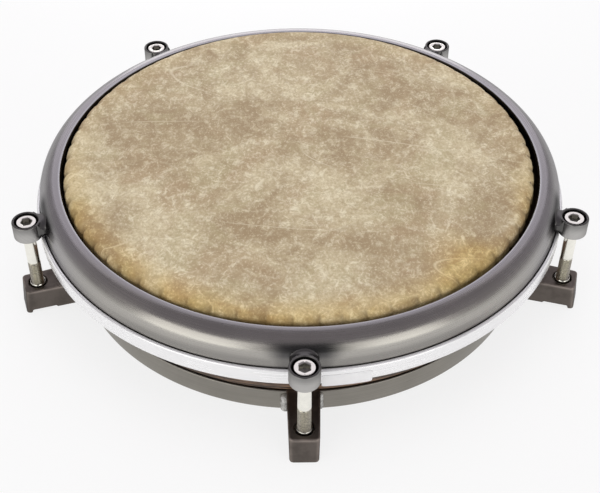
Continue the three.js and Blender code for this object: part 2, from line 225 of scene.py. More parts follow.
class CongaColours(bpy.types.PropertyGroup):
    """Base colours of the finishes."""

    film_cream: colour("Film cream", "Pale clouds in the head", (0.655, 0.560, 0.358))
    film_tan: colour("Film tan", "Middle tone of the head", (0.385, 0.283, 0.158))
    film_rose: colour("Film rose", "Rosy patches in the head", (0.455, 0.330, 0.190))
    film_olive: colour("Film olive", "Greenish patches in the head", (0.490, 0.415, 0.235))
    film_gold: colour("Film gold", "Tint of the yellowed outer edge of the head", (1.000, 0.875, 0.580))
    film_fibre: colour("Film fibre", "Pale strands in the head", (0.880, 0.810, 0.610))
    # Painted shade: brown along the pleat lines, and, much darker, on the collar below the bearing edge
    film_shade_brown: colour("Film pleat", "Brown along the pleat lines", (0.130, 0.075, 0.028))
    gunmetal: colour("Gunmetal", "Dark plating of the rim", (0.405, 0.392, 0.397))
    # Painted reflection: a warm tint at the front of the rim's crown, for the warm light it reflects there
    rim_front_reflection_tint: colour("Rim front", "Tint of that plating at the front of the rim", (1.000, 0.990, 0.910))
    # Painted highlight: lighter metal along the lip's edge, for the light line that the edge reflects
    lighter_metal: colour("Bare metal", "Metal where the plating of the rim's lip is worn off", (0.480, 0.480, 0.490))
    ear: colour("Ear", "Dark plating of the rim's ears", (0.470, 0.460, 0.447))
    hoop: colour("Hoop", "Bright metal of the flesh hoop", (0.930, 0.930, 0.935))
    nickel: colour("Nickel", "Plating of rods and nuts", (0.885, 0.870, 0.800))
    thread: colour("Thread", "Plating of the rods' threads", (0.700, 0.670, 0.560))
    band: colour("Band", "Satin steel of the band", (0.262, 0.246, 0.218))
    bracket: colour("Bracket", "Dark coat of the lug brackets", (0.128, 0.110, 0.098))
    weld: colour("Weld", "Bare metal of the weld beads", (0.700, 0.695, 0.670))
    wood_light: colour("Wood light", "Early wood of the ring", (0.300, 0.185, 0.118))
    wood_dark: colour("Wood dark", "Late wood of the ring", (0.020, 0.012, 0.008))
    # Near black, as painted shade in the hoop's open channel
    resin: colour("Resin", "Casting resin in the hoop", (0.020, 0.018, 0.015))
    washer: colour("Washer", "Washers under the rod heads", (0.010, 0.010, 0.010))
    label: colour("Label", "Blank paper label on the hoop", (0.950, 0.955, 0.960))
    floor: colour("Floor", "Plain floor of the studio", (0.900, 0.900, 0.900))


class CongaStudio(bpy.types.PropertyGroup):
    """Camera and light."""

    lens: FloatProperty(name="Lens", description="Focal length", default=69.69, unit="CAMERA")
    camera_place: FloatVectorProperty(
        name="Camera place", description="Where the camera stands", size=3,
        default=(-0.01052, -0.59871, 0.4518), subtype="TRANSLATION",
    )
    pitch: angle("Pitch", "How far the camera looks down", 41.57)
    heading: angle("Heading", "How far the camera looks to the right of straight ahead", 1.04)
    roll: angle("Roll", "How far the camera leans", 0.27)
    sky_low: colour("Sky low down", "Light of the room at the horizon", (0.80, 0.80, 0.79))
    sky_middle: colour("Sky half up", "Light of the room above the lamps", (0.37, 0.35, 0.37))
    sky_high: colour("Sky overhead", "Light of the room overhead", (0.27, 0.25, 0.28))
    sky_gap: colour("Sky gap", "Light of the room behind the camera", (0.03, 0.032, 0.036))


# Building meshes from grids of points

def grid_quads(rows, columns, ring_rows):
    """Quads between neighbours of a grid whose columns close on themselves, and its rows too if asked."""
    i, j = np.meshgrid(np.arange(rows if ring_rows else rows - 1), np.arange(columns), indexing="ij")
    below = (i + 1) % rows
    beside = (j + 1) % columns
    corners = [i * columns + j, i * columns + beside, below * columns + beside, below * columns + j]
    return np.stack(corners, -1).reshape(-1, 4)


def facing_out(points, quads):
    """The quads, turned over if the volume that they enclose comes out negative."""
    a, b, c, d = (points[quads[:, k]] for k in range(4))
    volume = np.einsum("ij,ij->", a, np.cross(b, c)) + np.einsum("ij,ij->", a, np.cross(c, d))
    return quads if volume > 0 else quads[:, ::-1]


def mesh_of(name, grids, ring_rows, marks, sharp_degrees):
    """One smooth mesh from closed grids, with marks as point attributes and poles welded."""
    flat = [grid.reshape(-1, 3) for grid in grids]
    starts = np.cumsum([0] + [len(points) for points in flat[:-1]])
    quads = [
        facing_out(points, grid_quads(*grid.shape[:2], ring_rows)) + start
        for points, grid, start in zip(flat, grids, starts)
    ]
    mesh = bpy.data.meshes.new(name)
    mesh.from_pydata(np.concatenate(flat), [], np.concatenate(quads))
    for mark, values in marks.items():
        attribute = mesh.attributes.new(mark, "FLOAT", "POINT")
        attribute.data.foreach_set("value", np.ascontiguousarray(values, np.float32).ravel())
    work = bmesh.new()
    work.from_mesh(mesh)
    bmesh.ops.remove_doubles(work, verts=work.verts, dist=WELD)
    work.to_mesh(mesh)
    work.free()
    mesh.polygons.foreach_set("use_smooth", np.ones(len(mesh.polygons), bool))
    mesh.set_sharp_from_angle(angle=math.radians(sharp_degrees))
    return mesh


def add_piece(name, grids, finish, slot, *, ring_rows=True, marks=None, sharp_degrees=40):
    """A new object at the origin that holds the grids, in a material; the slot is not used."""
    mesh = mesh_of(name, grids, ring_rows, marks or {}, sharp_degrees)
    mesh.materials.append(finish)
    piece = bpy.data.objects.new(name, mesh)
    bpy.context.scene.collection.objects.link(piece)
    return piece


def round_axis(radius, angles, height):
    """Points from cylinder coordinates: x = r cos t, y = r sin t, z = h."""
    return np.stack([radius * np.cos(angles), radius * np.sin(angles), height + 0 * angles], -1)


def even_angles(columns):
    """Angles of so many equal steps round a full turn."""
    return np.arange(columns) * TURN / columns


def revolve(profile, columns):
    """Carries radius and height pairs round the Z axis."""
    return round_axis(profile[:, :1], even_angles(columns), profile[:, 1:])


def turned_rows(rows, angles):
    """Radii and heights of rows round a rod's axis, each given as a radius, or one for each angle, and
    a height."""
    radius = np.stack([np.broadcast_to(r, angles.shape) for r, _ in rows])
    return radius, np.array([h for _, h in rows])[:, None]


def power_curve(angles, power):
    """Radius of the curve |x|^p + |y|^p = 1, which nears a square as the power grows."""
    return 1 / (np.abs(np.cos(angles)) ** power + np.abs(np.sin(angles)) ** power) ** (1 / power)


def round_corners(outline, reach, steps=5):
    """A closed outline whose corners become parabolas that start and end a reach away from them."""
    corner = np.asarray(outline, float)
    reach = np.broadcast_to(reach, len(corner))[:, None]
    back = np.roll(corner, 1, 0) - corner
    ahead = np.roll(corner, -1, 0) - corner
    start = corner + reach * back / np.linalg.norm(back, axis=1, keepdims=True)
    end = corner + reach * ahead / np.linalg.norm(ahead, axis=1, keepdims=True)
    t = np.linspace(0, 1, steps + 1)[:, None, None]
    curve = (1 - t) ** 2 * start + 2 * t * (1 - t) * corner + t ** 2 * end
    return curve.transpose(1, 0, 2).reshape(-1, 2)


def even_steps(outline, count):
    """A closed outline resampled at equal steps along its length."""
    ends = np.vstack([outline, outline[:1]])
    along = np.concatenate([[0], np.cumsum(np.linalg.norm(np.diff(ends, axis=0), axis=1))])
    place = np.arange(count) * along[-1] / count
    return np.stack([np.interp(place, along, ends[:, k]) for k in (0, 1)], -1)


def outward(outline):
    """Unit normals of a closed outline that runs counter-clockwise, from its central differences."""
    along = np.roll(outline, -1, 0) - np.roll(outline, 1, 0)
    normal = np.stack([along[:, 1], -along[:, 0]], -1)
    return normal / np.linalg.norm(normal, axis=1, keepdims=True)


def smooth(value, low, high):
    """Smoothstep from 0 at low to 1 at high."""
    t = np.clip((value - low) / (high - low), 0, 1)
    return t * t * (3 - 2 * t)


def waves(angles, terms):
    """The sum of amplitude times the sine of count times the angle plus phase."""
    return sum(amplitude * np.sin(count * angles + phase) for amplitude, count, phase in terms)


def at_lug(points, lug_angle):
    """Moves points that are given outward, across and up from a rod's axis to that rod's spoke."""
    turn = np.array([
        [math.cos(lug_angle), math.sin(lug_angle), 0],
        [-math.sin(lug_angle), math.cos(lug_angle), 0],
        [0, 0, 1],
    ])
    return (points + [BOLT_CIRCLE, 0, 0]) @ turn


def add_at_lugs(name, grids, finish, slot, **settings):
    """One piece at each lug, with its number."""
    for number, lug_angle in enumerate(LUG_ANGLES, 1):
        placed = [at_lug(points, lug_angle) for points in grids]
        yield number, add_piece(f"{name}_{number}", placed, finish, slot, **settings)


# Materials

LEVEL = (1, 1, 0)      # times a place, leaves out its height


class Nodes:
    """A node tree in the making. Inputs are links or values; most methods return the result's socket."""

    def __init__(self, tree):
        self.tree = tree

    def put(self, socket, value):
        """Links a socket to another, or sets its own value."""
        if isinstance(value, bpy.types.NodeSocket):
            self.tree.links.new(value, socket)
        elif socket.type == "RGBA":
            socket.default_value = (*value[:3], 1)
        else:
            socket.default_value = value

    def add(self, kind, inputs=None, **settings):
        """A new node with its settings, and its inputs by name or number."""
        node = self.tree.nodes.new("ShaderNode" + kind)
        for key, value in settings.items():
            setattr(node, key, value)
        for key, value in (inputs or {}).items():
            self.put(node.inputs[key], value)
        return node

    def math(self, operation, *values):
        return self.add("Math", dict(enumerate(values)), operation=operation).outputs[0]

    def times(self, first, second):
        return self.math("MULTIPLY", first, second)

    def plus(self, first, second):
        return self.math("ADD", first, second)

    def less(self, first, second):
        return self.math("SUBTRACT", first, second)

    def most(self, first, second):
        return self.math("MAXIMUM", first, second)

    def vector(self, operation, *values):
        """A vector, or a number from an operation that measures."""
        node = self.add("VectorMath", dict(enumerate(values)), operation=operation)
        measures = operation in ("LENGTH", "DISTANCE", "DOT_PRODUCT")
        return node.outputs["Value" if measures else "Vector"]

    def ramp(self, value, low, high, to_low=0.0, to_high=1.0):
        """Smooth step of a value between two limits."""
        inputs = {"Value": value, "From Min": low, "From Max": high, "To Min": to_low, "To Max": to_high}
        return self.add("MapRange", inputs, interpolation_type="SMOOTHSTEP").outputs["Result"]

    def mix(self, factor, first, second, blend="MIX"):
        inputs = {0: factor, 6: first, 7: second}
        return self.add("Mix", inputs, data_type="RGBA", blend_type=blend).outputs[2]


class Finish(Nodes):
    """A material in the making, which reads the object's coordinates and ends in a Principled shader."""

    def __init__(self, name):
        self.material = bpy.data.materials.new(name)
        self.material.use_nodes = True
        super().__init__(self.material.node_tree)
        self.shader = self.tree.nodes["Principled BSDF"]
        self.place = self.add("TexCoord").outputs["Object"]

    def coordinate(self, axis):
        return self.add("SeparateXYZ", {0: self.place}).outputs[axis]

    def mark(self, name):
        """A mark that the points of the piece's mesh carry."""
        return self.add("Attribute", attribute_name=name).outputs["Fac"]

    def noise(self, vector, scale, detail=3.0, roughness=0.6, distortion=0.0):
        inputs = {
            "Vector": vector, "Scale": scale, "Detail": detail, "Roughness": roughness,
            "Distortion": distortion,
        }
        return self.add("TexNoise", inputs).outputs["Fac"]

    def moved(self, shift=(0, 0, 0), turn=(0, 0, 0), scale=(1, 1, 1), kind="POINT"):
        """The object's coordinates, scaled, turned and then shifted, or the other way round as a texture."""
        inputs = {"Vector": self.place, "Location": shift, "Rotation": turn, "Scale": scale}
        return self.add("Mapping", inputs, vector_type=kind).outputs["Vector"]

    def with_fields(self, value, fields):
        """A value plus each field's gain, which is full at the field's place and nought at its reach."""
        for place, reach, gain in fields:
            near = self.ramp(self.vector("DISTANCE", self.place, place), 0.0, reach, 1.0, 0.0)
            value = self.plus(value, self.times(near, gain))
        return value

    def axis_distance(self):
        """Distance from the drum's axis."""
        return self.vector("LENGTH", self.vector("MULTIPLY", self.place, LEVEL))

    def turned_lines(self, along, across):
        """Coordinates for lines round the drum: the heading from its axis times the first factor, with
        radius less height times the second as its Z."""
        heading = self.vector("NORMALIZE", self.vector("MULTIPLY", self.place, LEVEL))
        drawn = self.vector("MULTIPLY", heading, (along, along, along))
        step = self.times(self.less(self.axis_distance(), self.coordinate("Z")), across)
        return self.vector("ADD", drawn, self.add("CombineXYZ", {"Z": step}).outputs[0])

    def bump(self, height, strength, distance):
        inputs = {"Height": height, "Strength": strength, "Distance": distance}
        self.put(self.shader.inputs["Normal"], self.add("Bump", inputs).outputs["Normal"])

    def done(self, base, roughness, metallic=0.0, specular=0.5, edge=1.0):
        """Sets the shader's sockets and returns the material. The edge is the grey at a glancing view."""
        inputs = {
            "Base Color": base, "Roughness": roughness, "Metallic": metallic,
            "Specular IOR Level": specular, "Specular Tint": (edge, edge, edge),
        }
        for key, value in inputs.items():
            self.put(self.shader.inputs[key], value)
        return self.material


def shaded(base, share):
    """A colour times a share, with no channel over 1."""
    return [min(1, channel * share) for channel in base]


def strands(finish, shift, turn, scale, *, stretch=7.0, width=0.055, detail=3.0):
    """Thin curled lines where a drawn-out noise passes its middle value, broken into short lengths."""
    drawn = finish.moved(shift=shift, turn=(0, 0, turn), scale=(1, stretch, 1), kind="TEXTURE")
    wave = finish.noise(drawn, scale, detail, roughness=0.5, distortion=0.25)
    off_middle = finish.math("ABSOLUTE", finish.less(wave, 0.5))
    lengths = finish.noise(finish.moved(shift=shift), 0.8 * scale, detail=2.0, roughness=0.5)
    thin = finish.ramp(off_middle, 0.0, width, 1.0, 0.0)
    return finish.times(thin, finish.ramp(lengths, 0.47, 0.6))


# Noises of the film: shift, stretch along Y, scale, detail, roughness and distortion
FILM_NOISES = {
    "clouds": ((0, 0, 0), 1.0, 17.0, 4.0, 0.62, 0.7),
    "patches": ((3, 1, 2), 1.0, 22.0, 4.0, 0.62, 0.6),
    "drifts": ((8, 4, 6), 1.0, 27.0, 4.0, 0.62, 0.6),
    "mottle": ((1, 5, 0), 0.7, 160.0, 6.0, 0.72, 0.5),
    "grain": ((0, 0, 0), 0.7, 680.0, 4.0, 0.70, 0.0),
    "flecks": ((6, 1, 3), 1.0, 520.0, 3.0, 0.60, 0.0),
}

# Tones laid over the film's tan one after the other: noise, its start and end, strength and colour
FILM_TONES = (
    ("clouds", 0.36, 0.62, 1.00, "film_cream"), ("patches", 0.48, 0.66, 0.75, "film_rose"),
    ("drifts", 0.50, 0.68, 0.60, "film_olive"), ("mottle", 0.50, 0.26, 0.60, "film_tan"),
    ("mottle", 0.50, 0.72, 0.75, "film_cream"), ("grain", 0.50, 0.30, 0.55, "film_tan"),
    ("grain", 0.52, 0.72, 0.60, "film_fibre"),
)

# Pale strands and long scratches in the film: shift, turn and scale
FILM_STRANDS = (
    ((7, 2, 0), 0.3, 230.0), ((2, 9, 0), 0.9, 210.0), ((5, 3, 0), 1.4, 210.0),
    ((4, 6, 0), 2.1, 210.0), ((3, 8, 0), 2.7, 210.0),
)
FILM_SCRATCHES = ((1, 2, 0), 1.4, 16.0)

# Broad fields of the film that are paler or browner than the rest: place, reach and gain
FILM_FIELDS = (
    ((-0.095, -0.055, 0), 0.070, 0.18), ((-0.092, 0.038, 0), 0.075, -0.22),
    ((-0.035, -0.105, 0), 0.060, 0.09), ((0.120, -0.065, 0), 0.055, -0.14),
    ((-0.130, -0.075, 0), 0.045, -0.19), ((-0.040, -0.071, 0), 0.042, -0.16),
    ((-0.041, 0.018, 0), 0.036, -0.12), ((-0.062, 0.082, 0), 0.050, 0.11),
)

# Where the film takes a gold tint, by radius and towards the front, and places there with more or less of it
GOLD_RADIUS, GOLD_FRONT = (0.126, 0.150), (0.03, -0.07)
GOLD_FIELDS = (((0.098, -0.101, 0), 0.036, 0.9), ((0.122, -0.076, 0), 0.034, -0.7))

# Where painted shade darkens the collar to near black, by height, and how much sooner behind on either side,
# by |X| and Y
COLLAR_SHADE_HEIGHT, COLLAR_SHADE_SOONER = (-0.0060, -0.0092), 0.0036
COLLAR_SHADE_SIDE, COLLAR_SHADE_BACK = (0.045, 0.09), (-0.02, 0.05)


def film_finish(colours):
    """Mottled film: clouds of four tones, fine flecks and pale strands, a gold tint at the edge that is
    stronger at the front, painted shade in brown along the pleat lines, and painted shade, near black, on
    the collar below the bearing edge."""
    finish = Finish("mottled_film")
    noises = {
        name: finish.noise(finish.moved(shift=shift, scale=(1, stretch, 1)), *settings)
        for name, (shift, stretch, *settings) in FILM_NOISES.items()
    }
    noises["clouds"] = finish.with_fields(noises["clouds"], FILM_FIELDS)
    grain = noises["grain"]
    tone = colours.film_tan
    for name, start, end, strength, colour_name in FILM_TONES:
        factor = finish.ramp(noises[name], start, end, 0.0, strength)
        tone = finish.mix(factor, tone, getattr(colours, colour_name))

    pale = finish.ramp(noises["flecks"], 0.58, 0.7)
    for shift, turn, scale in FILM_STRANDS:
        pale = finish.most(pale, strands(finish, shift, turn, scale))
    pale = finish.times(pale, finish.ramp(noises["clouds"], 0.3, 0.6, 0.25, 1.0))
    pale = finish.times(pale, finish.ramp(noises["mottle"], 0.4, 0.62))
    scratches = strands(finish, *FILM_SCRATCHES, stretch=4.0, width=0.005, detail=0.0)
    pale = finish.most(pale, finish.times(scratches, 0.65))
    tone = finish.mix(finish.times(pale, 0.8), tone, colours.film_fibre)

    x, y, z = (finish.coordinate(axis) for axis in "XYZ")
    edge = finish.ramp(finish.axis_distance(), *GOLD_RADIUS)
    edge = finish.times(edge, finish.ramp(y, *GOLD_FRONT, 0.2, 1.0))
    edge = finish.times(edge, finish.ramp(noises["patches"], 0.3, 0.6, 0.5, 1.0))
    tone = finish.mix(finish.with_fields(edge, GOLD_FIELDS), tone, colours.film_gold, "MULTIPLY")
    # Painted shade in brown along the pleat lines, where the pleat mark says so
    tone = finish.mix(finish.mark("pleat"), tone, colours.film_shade_brown)
    # Painted shade, near black, on the collar below the bearing edge; it starts higher up behind on either
    # side
    aside = finish.ramp(finish.math("ABSOLUTE", x), *COLLAR_SHADE_SIDE)
    aside = finish.times(aside, finish.ramp(y, *COLLAR_SHADE_BACK))
    collar_shade = finish.ramp(finish.less(z, finish.times(aside, COLLAR_SHADE_SOONER)), *COLLAR_SHADE_HEIGHT)
    tone = finish.mix(collar_shade, tone, shaded(colours.film_shade_brown, 0.12))

    finish.bump(finish.plus(finish.times(pale, 0.5), grain), strength=0.2, distance=0.0002)
    return finish.done(tone, finish.ramp(grain, 0.2, 0.8, 0.5, 0.68), specular=0.3)


# Where the painted warm reflection tint at the front begins and is full, towards the front and by radius
FRONT_Y, FRONT_RADIUS = (-0.06, -0.13), (0.1545, 0.158)


def brushed_finish(name, base, roughness, contrast, *, along=2.0, across=1400.0, edge=1.0,
                   metallic=1.0, stain=0.35, front=None, lighter_metal=None):
    """Metal with fine lines round the drum's axis, which vary its tone and gloss. Smudges and the mark
    for painted shade darken it. It may have a painted warm reflection tint at the front, and a painted
    highlight of lighter metal where its mark says so."""
    finish = Finish(name)
    lines = finish.noise(finish.turned_lines(along, across), 1.0, detail=4.0, roughness=0.7)
    smudges = finish.noise(finish.place, 26.0)
    tone = finish.mix(finish.ramp(lines, 0.3, 0.7), shaded(base, 1 - contrast), shaded(base, 1 + contrast))
    tone = finish.mix(finish.ramp(smudges, 0.35, 0.65, stain, 0.0), tone, shaded(base, 0.7))
    # Painted reflection: a warm tint towards the front of the crown
    if front is not None:
        ahead = finish.ramp(finish.coordinate("Y"), *FRONT_Y)
        ahead = finish.times(ahead, finish.ramp(finish.axis_distance(), *FRONT_RADIUS))
        tone = finish.mix(ahead, tone, front, "MULTIPLY")
    # Painted shade where the shade mark says so
    tone = finish.mix(finish.mark("shade"), tone, shaded(base, 0.22))
    # Painted highlight: lighter metal where its mark says so
    if lighter_metal is not None:
        tone = finish.mix(finish.mark("lighter_metal"), tone, lighter_metal)
    gloss = finish.plus(finish.ramp(lines, 0.25, 0.75, -0.05, 0.05), roughness)
    gloss = finish.plus(gloss, finish.ramp(smudges, 0.3, 0.7, -0.03, 0.04))
    finish.bump(lines, strength=0.08, distance=0.0001)
    return finish.done(tone, gloss, metallic=metallic, edge=edge)


def nickel_finish(colours):
    """Plating that rods and nuts share, made for the first of them: faint clouds in its tone and fine
    turned lines across its height, duller where the thread is cut, with painted shade in the socket and the
    nut's bore."""
    name = "nickel_plating"
    if name in bpy.data.materials:
        return bpy.data.materials[name]
    finish = Finish(name)
    clouds = finish.noise(finish.place, 180.0)
    lines = finish.noise(finish.moved(scale=(60, 60, 4000)), 1.0)
    specks = finish.noise(finish.place, 1600.0, detail=2.0)
    cut = finish.mark("cut")
    tone = finish.mix(finish.ramp(clouds, 0.35, 0.65), shaded(colours.nickel, 0.94), colours.nickel)
    thread = finish.mix(finish.ramp(specks, 0.4, 0.6), shaded(colours.thread, 0.7), colours.thread)
    tone = finish.mix(cut, tone, thread)
    # Painted shade where the recess mark says so: in the rod's socket and the nut's bore
    tone = finish.mix(finish.mark("recess"), tone, shaded(colours.nickel, 0.42))
    gloss = finish.ramp(lines, 0.3, 0.7, 0.11, 0.19)
    gloss = finish.plus(gloss, finish.times(cut, 0.16))
    return finish.done(tone, gloss, metallic=1.0)


def coated_finish(colours):
    """Dark satin coat with a fine grain, lighter along its edges from wear and a painted highlight."""
    finish = Finish("dark_coat")
    grain = finish.noise(finish.place, 1500.0)
    clouds = finish.noise(finish.place, 90.0)
    tone = finish.mix(finish.ramp(clouds, 0.35, 0.65), shaded(colours.bracket, 0.75), colours.bracket)
    # Wear and a painted highlight lighten the edges
    edge_wear_and_highlight = finish.times(finish.mark("edge"), finish.ramp(clouds, 0.3, 0.7, 0.15, 0.6))
    tone = finish.mix(edge_wear_and_highlight, tone, shaded(colours.bracket, 3.2))
    finish.bump(grain, strength=0.12, distance=0.0001)
    gloss = finish.ramp(grain, 0.2, 0.8, 0.28, 0.44)
    return finish.done(tone, gloss, metallic=0.85, specular=0.2, edge=0.4)


def weld_finish(colours):
    """Bare weld metal, mottled and dull."""
    finish = Finish("weld_metal")
    lumps = finish.noise(finish.place, 500.0, detail=4.0, roughness=0.7)
    tone = finish.mix(finish.ramp(lumps, 0.35, 0.6), shaded(colours.weld, 0.45), colours.weld)
    finish.bump(lumps, strength=0.5, distance=0.0004)
    return finish.done(tone, finish.ramp(lumps, 0.3, 0.7, 0.35, 0.6), metallic=0.5)


def wood_finish(colours):
    """Steam-bent wood: grain drawn out round the ring, with fine pores."""
    finish = Finish("ring_wood")
    lines = finish.turned_lines(along=5.0, across=700.0)
    grain = finish.noise(lines, 1.0, detail=5.0, roughness=0.65, distortion=0.4)
    pores = finish.noise(finish.turned_lines(along=30.0, across=2600.0), 1.0, detail=2.0)
    tone = finish.mix(finish.ramp(grain, 0.38, 0.62), colours.wood_dark, colours.wood_light)
    tone = finish.mix(finish.ramp(pores, 0.6, 0.72, 0.0, 0.6), tone, colours.wood_dark)
    finish.bump(finish.plus(grain, finish.times(pores, -0.5)), strength=0.2, distance=0.0002)
    return finish.done(tone, finish.ramp(grain, 0.3, 0.7, 0.42, 0.6))


def dull_finish(name, base, roughness, scale, shade=0.7):
    """A dull moulded or cast surface with faint clouds of a shade of its colour."""
    finish = Finish(name)
    clouds = finish.noise(finish.place, scale)
    finish.bump(clouds, strength=0.1, distance=0.0001)
    tone = finish.mix(finish.ramp(clouds, 0.35, 0.65), shaded(base, shade), base)
    return finish.done(tone, finish.ramp(clouds, 0.3, 0.7, roughness - 0.06, roughness + 0.06))


# Shapes of the rings

RING_COLUMNS = 360
WOOD_COLUMNS = 300

# Rows of the head along its flat, as shares of the flat's radius that lie closer near its edge
FLAT_STEPS = np.concatenate([np.linspace(0, 0.8, 12), np.linspace(0.83, 1, 12)])
SHOULDER_STEPS = 12
COLLAR_STEPS = 26
PLEAT_COLUMNS = 12      # from pleat line to pleat line
COLLAR_FLARE = 0.62     # how far the collar's foot flares, as a share of its drop
SWELL_POWER = 5         # how flat the swell between two pleat lines is
PLEAT_MEAN = 0.85       # mean of the swell
PLEAT_FRONT = 0.55      # share of it that is left at the front
PLEAT_BACK = 0.8        # share of that which is lost at the back

# Waves in the pleats' spacing and in their height: amplitude, count and phase
PLEAT_WANDER = ((0.012, 5, 0.7), (0.007, 13, 0.0))
PLEAT_HEIGHT = ((0.1, 9, 2.0), (0.1, 23, 0.0))


def film_surface(shape):
    """The head as one sheet. Its profile runs from the centre along the flat, over a round shoulder
    and down a collar that stands upright and then flares, and back along the inside one thickness
    away. Below the shoulder the profile moves out along its normal by the swell times
    1 - |2f - 1|^5, where f runs from 0 to 1 from pleat line to pleat line. The edge lies a little
    to the left, and stands farther out and higher at the back. Returns the grid and a mark f^3 of
    painted shade that darkens towards each line."""
    bend = FILM.outer - FILM.flat
    shoulder = FILM.top - bend
    drop = shoulder - COLLAR.bottom
    flat = FLAT_STEPS * FILM.flat
    arc = np.linspace(0, QUARTER, SHOULDER_STEPS)[1:]
    t = np.linspace(0, 1, COLLAR_STEPS)[1:, None]
    start, end = np.array([FILM.outer, shoulder]), np.array([COLLAR.outer, COLLAR.bottom])
    lead, tail = start - [0, drop / 2], end - [drop * COLLAR_FLARE, -drop / 2]
    outer = np.vstack([
        np.column_stack([flat, np.full(len(flat), FILM.top)]),
        np.column_stack([FILM.flat + bend * np.sin(arc), shoulder + bend * np.cos(arc)]),
        (1 - t) ** 3 * start + 3 * t * (1 - t) ** 2 * lead + 3 * t ** 2 * (1 - t) * tail + t ** 3 * end,
    ])
    along = np.gradient(outer, axis=0)
    normal = np.column_stack([-along[:, 1], along[:, 0]])
    normal /= np.linalg.norm(normal, axis=1, keepdims=True)

    around = even_angles(shape.pleats * PLEAT_COLUMNS)
    phase = ((around + waves(around, PLEAT_WANDER)) * shape.pleats / TURN) % 1
    swell = 1 - np.abs(2 * phase - 1) ** SWELL_POWER
    left, back = -np.cos(around), np.maximum(np.sin(around), 0)
    uneven = PLEAT_MEAN + waves(around, PLEAT_HEIGHT)
    uneven = uneven * (PLEAT_FRONT + (1 - PLEAT_FRONT) * np.abs(left)) * (1 - PLEAT_BACK * back ** 2)
    down = outer[:, 1]
    grow = smooth(-down, 0.2 * bend, 1.1 * bend)
    grow = grow * smooth(down, COLLAR.bottom - bend, COLLAR.bottom + bend)
    near_edge = smooth(outer[:, 0], FILM.flat - 0.2 * bend, FILM.outer) * smooth(down, -2 * bend, 0)
    push = shape.pleat_swell * grow[:, None] * swell * uneven
    push = push - shape.pleat_dip * near_edge[:, None] * (1 - swell) * uneven
    radius = outer[:, :1] + normal[:, :1] * push
    height = outer[:, 1:] + normal[:, 1:] * push
    inner_radius = np.maximum(radius - FILM.thickness * normal[:, :1], 0)
    inner_height = height - FILM.thickness * normal[:, 1:]
    inner_radius[0] = 0
    radius = np.vstack([radius, inner_radius[::-1]])
    height = np.vstack([height, inner_height[::-1]])
    high_up = smooth(height, COLLAR.bottom, shoulder) * radius / FILM.outer
    radius = radius + high_up * (shape.head_left * left + shape.head_back * back)
    height = height + high_up ** 2 * shape.head_rise * back ** 2
    # Painted shade that darkens towards each pleat line near the edge
    line = phase ** 3 * near_edge[:, None] * (0.7 + 0.3 * np.sin(31 * around))
    return round_axis(radius, around, height), np.vstack([line, line[::-1]])


def rim_profile(shape):
    """Two quarter ellipses a wall apart, joined by a lip that is folded down and leans in, over a skirt
    that flares by the square of the way down to its soft foot. Returns the profile, a mark for a painted
    highlight of lighter metal along the lip's edge and one for painted shade on the inside below it."""
    lip_soft, foot_soft = RIM.wall / 5, RIM.wall / 12
    bore, low = RIM.outer - RIM.wall, RIM.bottom - shape.skirt_drop
    sin_bend, cos_bend = np.sin(np.linspace(0, QUARTER, 5)), np.cos(np.linspace(0, QUARTER, 5))
    t = np.linspace(0, QUARTER, 40)
    outer = np.column_stack([RIM.centre + RIM.width * np.cos(t), RIM.skirt + RIM.rise * np.sin(t)])
    turn_in = np.column_stack([
        RIM.bore + lip_soft - lip_soft * sin_bend, RIM.top - lip_soft + lip_soft * cos_bend,
    ])
    turn_back = turn_in[::-1] * [1, -1] + [-shape.lip_lean, 2 * RIM.top - shape.lip_hem]
    inner = np.column_stack([
        RIM.centre + (RIM.width - RIM.wall) * np.cos(t[::-1]),
        RIM.skirt + (RIM.rise - RIM.wall) * np.sin(t[::-1]),
    ])
    foot = np.vstack([
        [[bore, low + foot_soft], [bore + foot_soft, low]],
        np.column_stack([
            RIM.outer - foot_soft + foot_soft * sin_bend, low + foot_soft - foot_soft * cos_bend,
        ]),
    ])
    foot[:, 0] += shape.skirt_flare
    s = np.linspace(0, 1, 8)[1:-1]
    skirt = np.column_stack([
        RIM.outer + shape.skirt_flare * (1 - s) ** 2, low + foot_soft + (RIM.skirt - low - foot_soft) * s,
    ])
    stretches = (outer, turn_in[:3], turn_in[3:], turn_back, inner, foot, skirt)
    counts = [len(stretch) for stretch in stretches]
    # Painted highlight of lighter metal on the top of the lip's rounding
    lighter_metal = np.repeat([0, 1, 0, 0, 0, 0, 0], counts)
    # Painted shade on the rest of the lip's rounding, its hem and the inside below it
    inside_shade = np.repeat([0, 0, 1, 1, 1, 0, 0], counts)
    return np.vstack(stretches), lighter_metal, inside_shade


# Painted shade on the rim: where it is nought and full, in degrees from a lug, in shares of the quarter
# ellipse's height and in the sine towards the front
JOINT_ARC, JOINT_RISE = (8.5, 3.6), (0.88, 0.6)
CROWN_RISE, CROWN_AHEAD, CROWN_SHADE = (0.96, 1.0), (-0.3, 0.2), 0.26
FOOT_RISE, FOOT_AHEAD, FOOT_SHADE = (0.25, -0.15), (0.7, 0.86), 0.36


